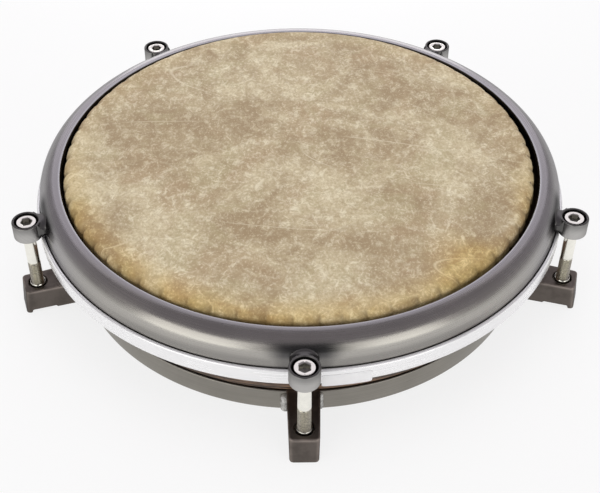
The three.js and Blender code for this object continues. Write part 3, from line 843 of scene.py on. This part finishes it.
def rim_shade(points):
    """How much painted shade the rim takes: where an ear joins the rim it falls with the arc from the
    nearest rod's spoke and with height above the skirt, and it is a little darker towards the front along
    the crown and along the skirt's foot."""
    around = np.arctan2(points[..., 1], points[..., 0])
    apart = np.abs((around[..., None] - LUG_ANGLES + math.pi) % TURN - math.pi).min(-1)
    rise = (points[..., 2] - RIM.skirt) / RIM.rise
    ahead = -np.sin(around)
    joint = smooth(np.degrees(apart), *JOINT_ARC) * smooth(rise, *JOINT_RISE)
    joint = joint * (0.7 + 0.3 * smooth(rise, 0.0, 0.3))
    crown = CROWN_SHADE * smooth(rise, *CROWN_RISE) * smooth(ahead, *CROWN_AHEAD)
    foot = FOOT_SHADE * smooth(rise, *FOOT_RISE) * smooth(ahead, *FOOT_AHEAD)
    return np.maximum(joint, np.maximum(crown, foot))


def hoop_profile(shape):
    """The channel, open at the top, with its outer corners rounded."""
    bore, outer = HOOP.bore + HOOP.wall, HOOP.outer - HOOP.wall
    floor = HOOP.bottom + HOOP.wall
    corners = [
        (HOOP.bore, HOOP.bottom), (HOOP.outer, HOOP.bottom), (HOOP.outer, HOOP.top), (outer, HOOP.top),
        (outer, floor), (bore, floor), (bore, HOOP.top), (HOOP.bore, HOOP.top),
    ]
    return round_corners(corners, shape.edge_round * np.array([1, 1.6, 1.9, 0.5, 0.5, 0.5, 0.5, 0.5]))


def shell_profile(shape):
    """The wooden ring: stepped foot, upright outside, rounded crest and inner bevel."""
    soft = shape.wood_round
    corners = [
        (SHELL.bore, SHELL.bottom), (SHELL.step_radius, SHELL.bottom), (SHELL.step_radius, SHELL.step),
        (SHELL.outer, SHELL.step), (SHELL.outer, SHELL.top), (SHELL.crest_bore, SHELL.top),
        (SHELL.bore, SHELL.bevel_foot),
    ]
    return round_corners(corners, [soft, soft, soft / 3, soft, SHELL.top - SHELL.round_foot, soft, 3 * soft])


def band_profile(shape):
    """The band with a rounded top edge and the ledge turned in at its foot."""
    corners = [
        (BAND.bore, BAND.bottom), (BAND.outer, BAND.bottom), (BAND.outer, BAND.top),
        (BAND.wall_bore, BAND.top), (BAND.wall_bore, BAND.ledge_top), (BAND.bore, BAND.ledge_top),
    ]
    return round_corners(corners, shape.edge_round * np.array([0.5, 1, 1.3, 0.5, 0.5, 0.5]))


# Shapes at the lugs, given outward, across and up from the rod's axis

ROD_COLUMNS = 96
BEVEL = 0.0003      # of a turned edge
PLAY = 0.0003      # between nut and pocket


def rim_skin(radius, inset):
    """Height of the rim's outer face, or of one an inset below it, at a distance from the drum's axis."""
    x = np.clip((radius - RIM.centre) / (RIM.width - inset), 0, 1)
    return RIM.skirt + (RIM.rise - inset) * np.sqrt(1 - x * x)


def rim_skin_radius(height, inset):
    """Distance from the drum's axis of that face at a height."""
    y = np.clip((height - RIM.skirt) / (RIM.rise - inset), 0, 1)
    return RIM.centre + (RIM.width - inset) * np.sqrt(1 - y * y)


def reach_to_radius(turn, radius):
    """Distance from the rod's axis to a circle about the drum's axis, in a direction turned from the
    inward one, and a metre where that direction misses it."""
    across = BOLT_CIRCLE * np.sin(turn)
    inside = np.maximum(np.asarray(radius) ** 2 - across ** 2, 0)
    reach = BOLT_CIRCLE * np.cos(turn) - np.sqrt(inside)
    return np.where((inside > 0) & (np.cos(turn) > 0), reach, 1.0)


EAR_COLUMNS = 200
EAR_WAIST = math.radians(52)            # half the angle of the cup that the pad takes up
EAR_PAD_FOOT = (0.0018, 0.0055)         # how far above the ear's foot the pad starts and is full
EAR_ARCH_START = (-0.0002, 0.0008)      # how far past the cup's outside the arch starts and is full
EAR_SKIN = 0.0003                       # how far under the rim's face the ear's top follows it
EAR_SHADE_FOOT = 0.004                  # how far above the ear's foot its side starts to darken


def ear_surface(shape):
    """A cup about the rod and a pad between it and the rim. Inside the waist angle the wall's distance
    from the rod follows the straight line from the cup to the pad's corner, then the pad's side, half
    its width / sin of the turn, and ends inside the rim's wall. The pad draws back to the cup lower down.
    The top face is the soft maximum of the cup's top and the rim's skin. Returns the grid and a mark of
    painted shade that is 0 low on the cup's side, rises up it, and is strong on its top, in its bore and on
    the pad."""
    half, soft = shape.ear_pad / 2, shape.ear_round
    waist_cos, waist_sin = math.cos(EAR_WAIST), math.sin(EAR_WAIST)

    def wall(turn, height):
        away = np.maximum(np.abs(turn), 1e-3)
        lift = shape.ear_pad_lift * smooth(height, EAR.bottom, EAR.top)
        run = BOLT_CIRCLE - RIM.outer - lift - EAR.radius * waist_cos
        rise = half - EAR.radius * waist_sin
        slant = EAR.radius * (waist_cos * rise - waist_sin * run)
        slant = slant / np.minimum(np.cos(away) * rise - np.sin(away) * run, -1e-6)
        pad = np.where(away < EAR_WAIST, np.minimum(slant, half / np.sin(away)), EAR.radius)
        full = smooth(height - EAR.bottom, *EAR_PAD_FOOT)
        free = EAR.radius + (pad - EAR.radius) * full
        return np.minimum(free, reach_to_radius(turn, rim_skin_radius(height, RIM.wall / 2)))

    dense = np.linspace(-math.pi, math.pi, 4001)[:-1]
    middle = wall(dense, (EAR.top + RIM.bottom) / 2)
    outline = even_steps(np.column_stack([middle * np.cos(dense), middle * np.sin(dense)]), EAR_COLUMNS)
    turn = np.arctan2(outline[:, 1], outline[:, 0])

    def row(distance, height):
        height = np.broadcast_to(height, turn.shape)
        return np.stack([-distance * np.cos(turn), distance * np.sin(turn), height], -1)

    def top_height(distance):
        away = np.hypot(BOLT_CIRCLE - distance * np.cos(turn), distance * np.sin(turn))
        side = np.clip(np.abs(distance * np.sin(turn)) / (1.04 * half), 0, 1)
        behind = (np.cos(turn) > 0) * smooth(distance - EAR.radius, *EAR_ARCH_START)
        crown = EAR.top - shape.ear_arch * behind * (1 - np.sqrt(1 - side ** 2))
        over = (rim_skin(away, EAR_SKIN) - crown) / shape.ear_blend
        return crown + shape.ear_blend * np.logaddexp(0, over)

    rows = [row(EAR.bore, height) for height in np.linspace(EAR.bottom, EAR.seat, 4)]
    rows += [row(distance, EAR.seat) for distance in np.linspace(EAR.bore, EAR.cup, 4)[1:]]
    rows += [row(EAR.cup, height) for height in np.linspace(EAR.seat, EAR.top - soft / 2, 6)[1:]]
    mouth = EAR.cup + soft / 2
    end = np.maximum(wall(turn, top_height(EAR.radius)) - soft, mouth)
    for part in np.linspace(0, 1, 8):
        distance = mouth + (end - mouth) * part
        rows.append(row(distance, top_height(distance)))
    first_side = len(rows) + 2
    crest, low = rows[-1][:, 2], EAR.bottom + soft
    bends = np.linspace(0, QUARTER, 5)[1:]
    for bend in bends:
        height = crest - soft * (1 - np.cos(bend))
        rows.append(row(np.maximum(wall(turn, height) - soft * (1 - np.sin(bend)), mouth), height))
    for part in np.linspace(0, 1, 12)[1:]:
        height = (crest - soft) + (low - crest + soft) * part
        rows.append(row(wall(turn, height), height))
    for bend in bends:
        height = low - soft * np.sin(bend)
        rows.append(row(wall(turn, height) - soft * (1 - np.cos(bend)), height))
    last_side = len(rows)
    foot_end = wall(turn, EAR.bottom) - soft
    rows += [row(EAR.bore + (foot_end - EAR.bore) * part, EAR.bottom) for part in (0.75, 0.5, 0.25)]
    points = np.stack(rows)
    place = np.arange(len(rows))[:, None]
    side = (place >= first_side) & (place < last_side)
    # Painted shade: strong on the pad, 0.85 on the top, in the bore and under the foot, and rising up the
    # cup's side
    pad = smooth(np.cos(turn), waist_cos - 0.25, waist_cos + 0.05)
    pad = np.maximum(pad, 0.55 * smooth(points[..., 2], EAR.bottom + EAR_SHADE_FOOT, EAR.top))
    return points, np.where(side, pad, 0.85)


THREAD_ROWS = 8                     # in one turn
THREAD_CREST = 0.2                  # width of the crest as a share of the pitch
THREAD_FLANK = 0.62                 # width of both flanks as a share of the pitch
ROD_POINT = 0.0010                  # unthreaded length at the rod's tip
SOCKET_SHADE = (0.8, 1.0, 0.7)      # at the middle and the edge of the socket's floor, and at its mouth


def rod_surface(shape):
    """A rod about its axis. Each row is a circle, a hexagon r = a / cos(t mod 60 deg - 30 deg) in the
    socket, or a turn of the thread, whose radius is a trapezoid wave of height / pitch + t / turn.
    Returns the grid and marks for painted shade in the socket and for the cut thread."""
    t = even_angles(ROD_COLUMNS)
    hexagon = ROD.socket * math.cos(math.pi / 6) / np.cos(t % (TURN / 6) - TURN / 12)
    head, shank, start = ROD.outer, ROD.shank, shape.thread_start
    radius, height = turned_rows([
        (0, ROD.socket_floor - 3 * BEVEL), (hexagon, ROD.socket_floor), (hexagon, ROD.top - BEVEL),
        (ROD.socket + BEVEL, ROD.top), (head - BEVEL, ROD.top),
        (head - BEVEL * 0.4, ROD.top - BEVEL * 0.15), (head - BEVEL * 0.1, ROD.top - BEVEL * 0.5),
        (head, ROD.top - BEVEL), (head, ROD.head_foot + BEVEL), (head - BEVEL, ROD.head_foot),
        (shank + BEVEL, ROD.head_foot), (shank, ROD.head_foot - BEVEL), (shank, start + BEVEL),
    ], t)
    thread = np.arange(start, ROD.bottom + ROD_POINT, -shape.thread_pitch / THREAD_ROWS)[:, None]
    turns = thread / shape.thread_pitch + t / TURN
    wave = np.clip((np.abs(2 * (turns % 1) - 1) - THREAD_CREST) / THREAD_FLANK, 0, 1)
    run_in = smooth(start - thread, 0, 1.5 * shape.thread_pitch)
    tip_radius, tip_height = turned_rows([(shank - shape.thread_depth, ROD.bottom), (0, ROD.bottom)], t)
    radius = np.vstack([radius, shank - shape.thread_depth * run_in * wave, tip_radius])
    height = np.vstack([height, thread, tip_height])
    # Painted shade in the socket
    recess = np.zeros((len(height), 1))
    recess[:len(SOCKET_SHADE), 0] = SOCKET_SHADE
    cut = smooth(start - height, 0, shape.thread_pitch)
    return round_axis(radius, t, height), {"recess": recess + 0 * t, "cut": cut + 0 * t}


NUT_POWER = 14
NUT_BEVEL = (0.00035, 0.0006)      # of the collar, inwards and down


def nut_surface():
    """A nut about the rod: bore, bevelled round collar, and a body whose plan is a power curve near a
    square. Returns the grid and a mark for painted shade in the bore."""
    t = even_angles(ROD_COLUMNS)
    square = NUT.half * power_curve(t, NUT_POWER)
    rows = [
        (NUT.bore, NUT.bottom + BEVEL), (NUT.bore, NUT.top - BEVEL), (NUT.bore + BEVEL, NUT.top),
        (NUT.collar - NUT_BEVEL[0], NUT.top), (NUT.collar, NUT.top - NUT_BEVEL[1]),
        (NUT.collar, NUT.shoulder), (square - BEVEL, NUT.shoulder), (square, NUT.shoulder - BEVEL),
        (square, NUT.bottom + BEVEL), (square - BEVEL, NUT.bottom), (NUT.bore + BEVEL, NUT.bottom),
    ]
    radius, height = turned_rows(rows, t)
    # Painted shade in the bore
    bore = (np.arange(len(rows)) < 2)[:, None]
    return round_axis(radius, t, height), bore + 0 * t


BRACKET_COLUMNS = 224
ROOT_DEPTH = 0.0002      # how deep the root's corners sit in the band
NOTCH_REACH = 0.0018     # how far the notch reaches inward past the pocket
NOTCH_LEAD = 0.0008      # length over which the notch deepens
HOLE_BEVEL = 0.0004


def bracket_surface(shape):
    """A block about the rod that tapers outward and whose end leans in towards its top: hole, top face,
    rounded edges, walls, a foot notched across, a square pocket for the nut and the pocket's ceiling.
    Returns the grid and a mark for wear and a painted highlight along its edges."""
    soft, corner = shape.bracket_edge, shape.bracket_corner
    half, root_half = shape.bracket_width / 2, shape.bracket_root / 2
    root = math.sqrt((BAND.outer - ROOT_DEPTH) ** 2 - root_half ** 2) - BOLT_CIRCLE
    plan = [(BRACKET.reach, -half), (BRACKET.reach, half), (root, root_half), (root, -root_half)]
    outline = even_steps(round_corners(plan, [corner, corner, BEVEL, BEVEL], 8), BRACKET_COLUMNS)
    normal = outward(outline)
    turn = np.arctan2(outline[:, 1], outline[:, 0])
    compass = np.column_stack([np.cos(turn), np.sin(turn)])
    pocket, ceiling = NUT.half + PLAY, NUT.shoulder + PLAY
    square = compass * pocket / np.abs(compass).max(1, keepdims=True)
    rows, edges = [], []

    def foot(points):
        x = points[:, 0]
        rooted = smooth(-x, -pocket - NOTCH_LEAD, -pocket)
        notch = smooth(x, -pocket - NOTCH_REACH - NOTCH_LEAD, -pocket - NOTCH_REACH) * rooted
        return BRACKET.bottom + np.maximum(shape.notch_depth * notch, shape.root_lift * rooted)

    def leant(points, height):
        rise = np.broadcast_to((height - BRACKET.bottom) / (BRACKET.top - BRACKET.bottom), len(points))
        out = (points[:, 0] - root) / (BRACKET.reach - root)
        x = points[:, 0] - rise * out * (BRACKET.reach - BRACKET.top_reach)
        return np.column_stack([x, points[:, 1] * (1 + rise * shape.bracket_draft / half)])

    def add(points, height, edge=0.0):
        rows.append(np.column_stack([points, np.broadcast_to(height, len(points))]))
        edges.append(np.broadcast_to(edge, len(points)))

    hole = compass * BRACKET.hole
    for height in np.linspace(ceiling, BRACKET.top - HOLE_BEVEL, 5):
        add(hole, height)
    start = compass * (BRACKET.hole + HOLE_BEVEL)
    inset = leant(outline - normal * soft, BRACKET.top)
    for part in (0.0, 0.2, 0.45, 0.7, 0.9, 1.0):
        add(start + (inset - start) * part, BRACKET.top, 0.6 * (part == 1.0))
    for bend in np.linspace(0, QUARTER, 6)[1:]:
        height = BRACKET.top - soft * (1 - math.cos(bend))
        add(leant(outline - normal * soft * (1 - math.sin(bend)), height), height, 1.0)
    upright = np.abs(2 * normal[:, 0] * normal[:, 1]) ** 2 * (outline[:, 0] > 0)
    bottom = foot(outline)
    for part in np.linspace(0, 1, 12)[1:]:
        height = (BRACKET.top - soft) + (bottom + soft / 2 - BRACKET.top + soft) * part
        add(leant(outline, height), height, 0.7 * upright)
    for bend in np.linspace(0, QUARTER, 4)[1:]:
        points = outline - normal * soft / 2 * (1 - math.cos(bend))
        add(points, bottom + soft / 2 * (1 - math.sin(bend)), 0.7)
    start = outline - normal * soft / 2
    for part in (0.2, 0.4, 0.6, 0.8, 1.0):
        points = start + (square - start) * part
        add(points, foot(points))
    for height in np.linspace(BRACKET.bottom + shape.notch_depth, ceiling, 6)[1:]:
        add(square, height)
    add((square + hole) / 2, ceiling)
    return np.stack(rows), np.stack(edges)


WELD_ROWS = 60
WELD_COLUMNS = 20
WELD_BLUNT = 10      # power that rounds a bead's ends


def weld_surface(shape, side):
    """A bead up the corner between a bracket's side and the band: a round bar whose radius ripples
    with height and swells and shrinks a little at random-looking phases, closed by round ends."""
    r = shape.weld_radius * (1.0 - 0.25 * side)
    root_half = shape.bracket_root / 2
    low, high = BAND.bottom - (0.2 - 0.6 * (side > 0)) * r, BAND.top - 0.9 * r
    s = np.linspace(0, 1, WELD_ROWS)[:, None]
    t = even_angles(WELD_COLUMNS)
    ends = np.sqrt(np.maximum(1 - np.abs(2 * s - 1) ** WELD_BLUNT, 0))
    ripple = 1 + 0.10 * np.sin(s * 38 + 1.7 * np.cos(t)) + 0.08 * np.sin(s * 17 + 2 * side + t)
    radius = r * ends * ripple
    x = math.sqrt(BAND.outer ** 2 - root_half ** 2) - BOLT_CIRCLE + 0.25 * r + radius * np.cos(t)
    y = side * (root_half + 0.35 * r + 1.15 * radius * np.sin(t))
    return np.stack([x, y, low + (high - low) * s + 0 * t], -1)


LABEL_COLUMNS = 64
LABEL_POWER = 16            # of its outline
LABEL_HALF_WIDTH = 0.0142
LABEL_HALF_HEIGHT = 0.0046
LABEL_TURN = 0.140          # angle of its middle past the front lug
LABEL_RISE = 0.0024         # height of its middle above the hoop's foot
LABEL_CURL = 0.2            # how far it leans in below the hoop, as a share of the way down
PAPER = 0.00008


def label_surface():
    """A thin sheet bent round the outside of the hoop, with rounded corners and a curl at its foot:
    its points are a power curve in arc and height about its middle, front and back."""
    t = even_angles(LABEL_COLUMNS)
    out = np.array([0, 0.3, 0.6, 0.85, 1])
    spread = np.concatenate([out, out[::-1]])[:, None] * power_curve(t, LABEL_POWER)
    lift = PAPER * np.repeat([2, 1], len(out))[:, None]
    around = LUG_ANGLES[0] + LABEL_TURN + LABEL_HALF_WIDTH / HOOP.outer * spread * np.cos(t)
    height = HOOP.bottom + LABEL_RISE + LABEL_HALF_HEIGHT * spread * np.sin(t)
    curl = LABEL_CURL * np.maximum(HOOP.bottom - height, 0)
    return round_axis(HOOP.outer + lift - curl, around, height)


# Operators

class CONGA_OT_head(bpy.types.Operator):
    """Build the pleated film head"""
    bl_idname = "conga.head"
    bl_label = "Head"

    def execute(self, context):
        points, line = film_surface(context.scene.conga_shape)
        # The pleat mark carries painted shade along the pleat lines
        piece = add_piece(
            "head", [points], film_finish(context.scene.conga_colours), "film",
            ring_rows=False, marks={"pleat": line}, sharp_degrees=60,
        )
        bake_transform(piece)
        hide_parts("head_film", "head_collar")
        return {"FINISHED"}


class CONGA_OT_rim(bpy.types.Operator):
    """Build the quarter-round rim"""
    bl_idname = "conga.rim"
    bl_label = "Rim"

    def execute(self, context):
        colours = context.scene.conga_colours
        metal = brushed_finish(
            "gunmetal_plating", colours.gunmetal, roughness=0.26, contrast=0.05,
            edge=0.6, stain=0.15, front=colours.rim_front_reflection_tint, lighter_metal=colours.lighter_metal,
        )
        profile, lighter_metal, inside_shade = rim_profile(context.scene.conga_shape)
        points = revolve(profile, RING_COLUMNS)
        # Painted highlight along the lip's edge; painted shade near the ears, towards the front, and inside
        # below the lip
        marks = {
            "lighter_metal": np.repeat(lighter_metal, RING_COLUMNS),
            "shade": np.maximum(rim_shade(points), inside_shade[:, None]),
        }
        piece = add_piece("rim_shell", [points], metal, "gunmetal", marks=marks)
        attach(piece, "rim")
        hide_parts("rim")
        return {"FINISHED"}


class CONGA_OT_hoop(bpy.types.Operator):
    """Build the flesh hoop and the blank label on it"""
    bl_idname = "conga.hoop"
    bl_label = "Flesh hoop"

    def execute(self, context):
        colours = context.scene.conga_colours
        metal = brushed_finish(
            "drawn_hoop_metal", colours.hoop, roughness=0.24, contrast=0.03,
            along=1.5, across=2200.0, metallic=0.5, stain=0.06,
        )
        points = revolve(hoop_profile(context.scene.conga_shape), RING_COLUMNS)
        piece = add_piece("flesh_hoop_channel", [points], metal, "hoop_metal")
        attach(piece, "rim")
        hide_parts("flesh_hoop")
        paper = dull_finish("label_paper", colours.label, roughness=0.5, scale=90.0, shade=0.96)
        label = add_piece("hoop_label", [label_surface()], paper, "hoop_metal", ring_rows=False)
        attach(label, "rim")
        return {"FINISHED"}


class CONGA_OT_shell(bpy.types.Operator):
    """Build the wooden shell ring"""
    bl_idname = "conga.shell"
    bl_label = "Shell ring"

    def execute(self, context):
        points = revolve(shell_profile(context.scene.conga_shape), WOOD_COLUMNS)
        wood = wood_finish(context.scene.conga_colours)
        piece = add_piece("shell_wood_ring", [points], wood, "shell_wood")
        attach(piece, "frame")
        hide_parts("shell_ring")
        return {"FINISHED"}


class CONGA_OT_band(bpy.types.Operator):
    """Build the metal band round the foot"""
    bl_idname = "conga.band"
    bl_label = "Support band"

    def execute(self, context):
        base = context.scene.conga_colours.band
        steel = brushed_finish(
            "turned_band_steel", base, roughness=0.34, contrast=0.1, along=1.5, across=1500.0,
        )
        points = revolve(band_profile(context.scene.conga_shape), RING_COLUMNS)
        piece = add_piece("support_band_ring", [points], steel, "band_steel")
        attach(piece, "frame")
        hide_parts("support_band")
        return {"FINISHED"}


class CONGA_OT_ears(bpy.types.Operator):
    """Build the five ears of the rim"""
    bl_idname = "conga.ears"
    bl_label = "Rim ears"

    def execute(self, context):
        points, shade = ear_surface(context.scene.conga_shape)
        base = context.scene.conga_colours.ear
        metal = brushed_finish("ear_plating", base, roughness=0.36, contrast=0.08, edge=0.5)
        # Each ear carries its painted shade in the shade mark
        for number, piece in add_at_lugs("ear_cup", [points], metal, "gunmetal", marks={"shade": shade}):
            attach(piece, "rim")
            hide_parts(f"rim_ear_{number}")
        return {"FINISHED"}


class CONGA_OT_rods(bpy.types.Operator):
    """Build the five threaded tension rods"""
    bl_idname = "conga.rods"
    bl_label = "Tension rods"

    def execute(self, context):
        points, marks = rod_surface(context.scene.conga_shape)
        nickel = nickel_finish(context.scene.conga_colours)
        settings = {"ring_rows": False, "marks": marks, "sharp_degrees": 30}
        for number, piece in add_at_lugs("socket_rod", [points], nickel, "rod_nickel", **settings):
            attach(piece, f"rod_{number}")
            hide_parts(f"tension_rod_{number}")
        return {"FINISHED"}


class CONGA_OT_nuts(bpy.types.Operator):
    """Build the five collared nuts"""
    bl_idname = "conga.nuts"
    bl_label = "Lug nuts"

    def execute(self, context):
        points, bore = nut_surface()
        # The recess mark carries painted shade in the nut's bore
        nickel, marks = nickel_finish(context.scene.conga_colours), {"recess": bore}
        for number, piece in add_at_lugs("collar_nut", [points], nickel, "rod_nickel", marks=marks):
            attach(piece, "frame")
            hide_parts(f"lug_nut_{number}")
        return {"FINISHED"}


class CONGA_OT_brackets(bpy.types.Operator):
    """Build the five lug brackets and their weld beads"""
    bl_idname = "conga.brackets"
    bl_label = "Lug brackets"

    def execute(self, context):
        shape, colours = context.scene.conga_shape, context.scene.conga_colours
        points, edge = bracket_surface(shape)
        beads = [weld_surface(shape, side) for side in (-1, 1)]
        coat, lighter_metal = coated_finish(colours), weld_finish(colours)
        # The edge mark carries wear and a painted highlight
        pieces = add_at_lugs("bracket_block", [points], coat, "bracket_steel", marks={"edge": edge})
        welds = add_at_lugs("weld_beads", beads, lighter_metal, "bracket_steel", ring_rows=False)
        for (number, piece), (_, weld) in zip(pieces, welds):
            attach(piece, "frame")
            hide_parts(f"lug_bracket_{number}")
            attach(weld, "frame")
        return {"FINISHED"}


class CONGA_OT_inner_parts(bpy.types.Operator):
    """Give the washers and the resin, whose solids are kept, their finishes"""
    bl_idname = "conga.inner_parts"
    bl_label = "Washers and resin"

    def execute(self, context):
        colours = context.scene.conga_colours
        nylon = dull_finish("washer_nylon", colours.washer, roughness=0.55, scale=900.0)
        # The resin is near black, as painted shade in the hoop's channel
        resin = dull_finish("cast_resin", colours.resin, roughness=0.5, scale=120.0)
        finishes = {f"rod_washer_{number}": nylon for number in range(1, len(LUGS) + 1)}
        finishes["hoop_resin"] = resin
        for node, finish in finishes.items():
            mesh = frame["nodes"][node].data
            mesh.materials.clear()
            mesh.materials.append(finish)
        return {"FINISHED"}


# The studio

CLIP_START = 0.01                       # the nearest that the camera sees
FLOOR_WHITE = 0.8                       # share of the floor that shows white whatever its light
FLOOR_RINGS = (0.5, 2.0, 6.0)
FLOOR_COLUMNS = 64
SKY_MIDDLE = 0.36                       # height of the sky's middle tone, as a sine
GAP_HEADING = (0.1045, -0.9945, 0)      # where the dark gap in the sky lies
GAP_EDGE = (0.972, 0.988)               # its edge, as the cosine from that heading
GAP_TOP = (0.80, 0.60)                  # its top, as a sine

# Light panels: place, width and height, radiance, tint, and whether they show in reflections
PANELS = {
    "panel_front_left": ((-0.79, -0.97, 0.36), (0.96, 0.82), 1.40, (1, 1, 0.95), True),
    "panel_front_right": ((0.71, -1.03, 0.35), (0.79, 0.78), 1.35, (1, 1, 0.95), True),
    "panel_back": ((0, 1.3, 0.85), (2.1, 1.75), 0.64, (0.95, 0.915, 1), True),
    "panel_low_back": ((0, 0.48, 0.05), (0.46, 0.20), 1.2, (1, 1, 1), True),
    "panel_overhead": ((0, 0, 1.8), (2.0, 2.0), 1.4, (1, 1, 1), False),
}


def floor_material(colours):
    """White for the camera and in reflections, over a pale matt floor that takes the shadow."""
    material = bpy.data.materials.new("studio_floor")
    material.use_nodes = True
    nodes = Nodes(material.node_tree)
    nodes.tree.nodes.remove(nodes.tree.nodes["Principled BSDF"])
    path = nodes.add("LightPath").outputs
    seen = nodes.most(path["Is Camera Ray"], path["Is Glossy Ray"])
    seen = nodes.most(seen, path["Is Transmission Ray"])
    matt = nodes.add("BsdfDiffuse", {"Color": colours.floor}).outputs[0]
    white = nodes.add("Emission").outputs[0]
    both = nodes.add("MixShader", {0: nodes.times(seen, FLOOR_WHITE), 1: matt, 2: white}).outputs[0]
    nodes.put(nodes.tree.nodes["Material Output"].inputs["Surface"], both)
    return material


def add_floor(scene):
    """A wide flat disc at the height of the lowest point of the drum: rings, and one face in the middle."""
    profile = np.column_stack([FLOOR_RINGS, np.full(len(FLOOR_RINGS), CAD_BOX[0][2])])
    points = revolve(profile, FLOOR_COLUMNS)
    rings = grid_quads(len(FLOOR_RINGS), FLOOR_COLUMNS, False)[:, ::-1].tolist()
    mesh = bpy.data.meshes.new("floor")
    mesh.from_pydata(points.reshape(-1, 3), [], [*rings, list(range(FLOOR_COLUMNS))])
    mesh.materials.append(floor_material(scene.conga_colours))
    floor = bpy.data.objects.new("floor", mesh)
    scene.collection.objects.link(floor)


def add_sky(scene, studio):
    """Grey that falls from the horizon to overhead, with a dark gap behind the camera."""
    scene.world = bpy.data.worlds.new("studio_room")
    scene.world.use_nodes = True
    sky = Nodes(scene.world.node_tree)
    direction = sky.add("TexCoord").outputs["Generated"]
    height = sky.add("SeparateXYZ", {0: direction}).outputs["Z"]
    grey = sky.add("ValToRGB", {0: height})
    grey.color_ramp.interpolation = "EASE"
    grey.color_ramp.elements.new(SKY_MIDDLE)
    tints = (studio.sky_low, studio.sky_middle, studio.sky_high)
    for element, tint in zip(grey.color_ramp.elements, tints):
        element.color = (*tint, 1)
    heading = sky.vector("NORMALIZE", sky.vector("MULTIPLY", direction, LEVEL))
    behind = sky.ramp(sky.vector("DOT_PRODUCT", heading, GAP_HEADING), *GAP_EDGE)
    gap = sky.times(behind, sky.ramp(height, *GAP_TOP))
    tone = sky.mix(gap, grey.outputs["Color"], studio.sky_gap)
    sky.put(sky.tree.nodes["Background"].inputs["Color"], tone)


def add_panel(scene, name, place, size, radiance, tint, in_reflections):
    """A soft light panel of even radiance that faces the drum: its power is pi times radiance times area."""
    lamp = bpy.data.lights.new(name, "AREA")
    lamp.shape = "RECTANGLE"
    lamp.size, lamp.size_y = size
    lamp.energy = math.pi * radiance * size[0] * size[1]
    lamp.color = tint
    panel = bpy.data.objects.new(name, lamp)
    panel.location = place
    panel.rotation_euler = (-panel.location).to_track_quat("-Z", "Y").to_euler()
    panel.visible_camera = False
    panel.visible_glossy = in_reflections
    scene.collection.objects.link(panel)


def add_camera(scene, studio):
    """The camera, turned to its heading, tipped down by its pitch and leant by its roll."""
    camera = bpy.data.objects.new("camera", bpy.data.cameras.new("camera"))
    camera.data.lens = studio.lens
    camera.data.clip_start = CLIP_START
    turn = Matrix.Rotation(-studio.heading, 4, "Z")
    tip = Matrix.Rotation(QUARTER - studio.pitch, 4, "X")
    lean = Matrix.Rotation(studio.roll, 4, "Z")
    camera.matrix_world = Matrix.Translation(studio.camera_place) @ turn @ tip @ lean
    scene.collection.objects.link(camera)
    scene.camera = camera


class CONGA_OT_stage(bpy.types.Operator):
    """Build the floor, the light and the camera"""
    bl_idname = "conga.stage"
    bl_label = "Studio"

    def execute(self, context):
        scene = context.scene
        scene.view_settings.view_transform = "Standard"
        add_floor(scene)
        add_sky(scene, scene.conga_studio)
        for name, settings in PANELS.items():
            add_panel(scene, name, *settings)
        add_camera(scene, scene.conga_studio)
        return {"FINISHED"}


PIECE_OPERATORS = (
    CONGA_OT_head, CONGA_OT_rim, CONGA_OT_hoop, CONGA_OT_shell, CONGA_OT_band, CONGA_OT_ears,
    CONGA_OT_rods, CONGA_OT_nuts, CONGA_OT_brackets, CONGA_OT_inner_parts, CONGA_OT_stage,
)


class CONGA_PT_pieces(bpy.types.Panel):
    """Lists the operators that build the conga"""
    bl_idname = "CONGA_PT_pieces"
    bl_label = "Conga"
    bl_space_type = "VIEW_3D"
    bl_region_type = "UI"
    bl_category = "Conga"

    def draw(self, context):
        for operator in PIECE_OPERATORS:
            self.layout.operator(operator.bl_idname)


PROPERTY_GROUPS = {
    "conga_shape": CongaShape, "conga_colours": CongaColours, "conga_studio": CongaStudio,
}
CLASSES = (*PROPERTY_GROUPS.values(), *PIECE_OPERATORS, CONGA_PT_pieces)


def register():
    for item in CLASSES:
        bpy.utils.register_class(item)
    for name, group in PROPERTY_GROUPS.items():
        setattr(bpy.types.Scene, name, PointerProperty(type=group))


def unregister():
    for name in PROPERTY_GROUPS:
        delattr(bpy.types.Scene, name)
    for item in reversed(CLASSES):
        bpy.utils.unregister_class(item)


def main():
    register()
    bpy.ops.conga.stage()
    bpy.ops.conga.head()
    bpy.ops.conga.rim()
    bpy.ops.conga.hoop()
    bpy.ops.conga.shell()
    bpy.ops.conga.band()
    bpy.ops.conga.ears()
    bpy.ops.conga.rods()
    bpy.ops.conga.nuts()
    bpy.ops.conga.brackets()
    bpy.ops.conga.inner_parts()


if __name__ == "__main__":
    main()
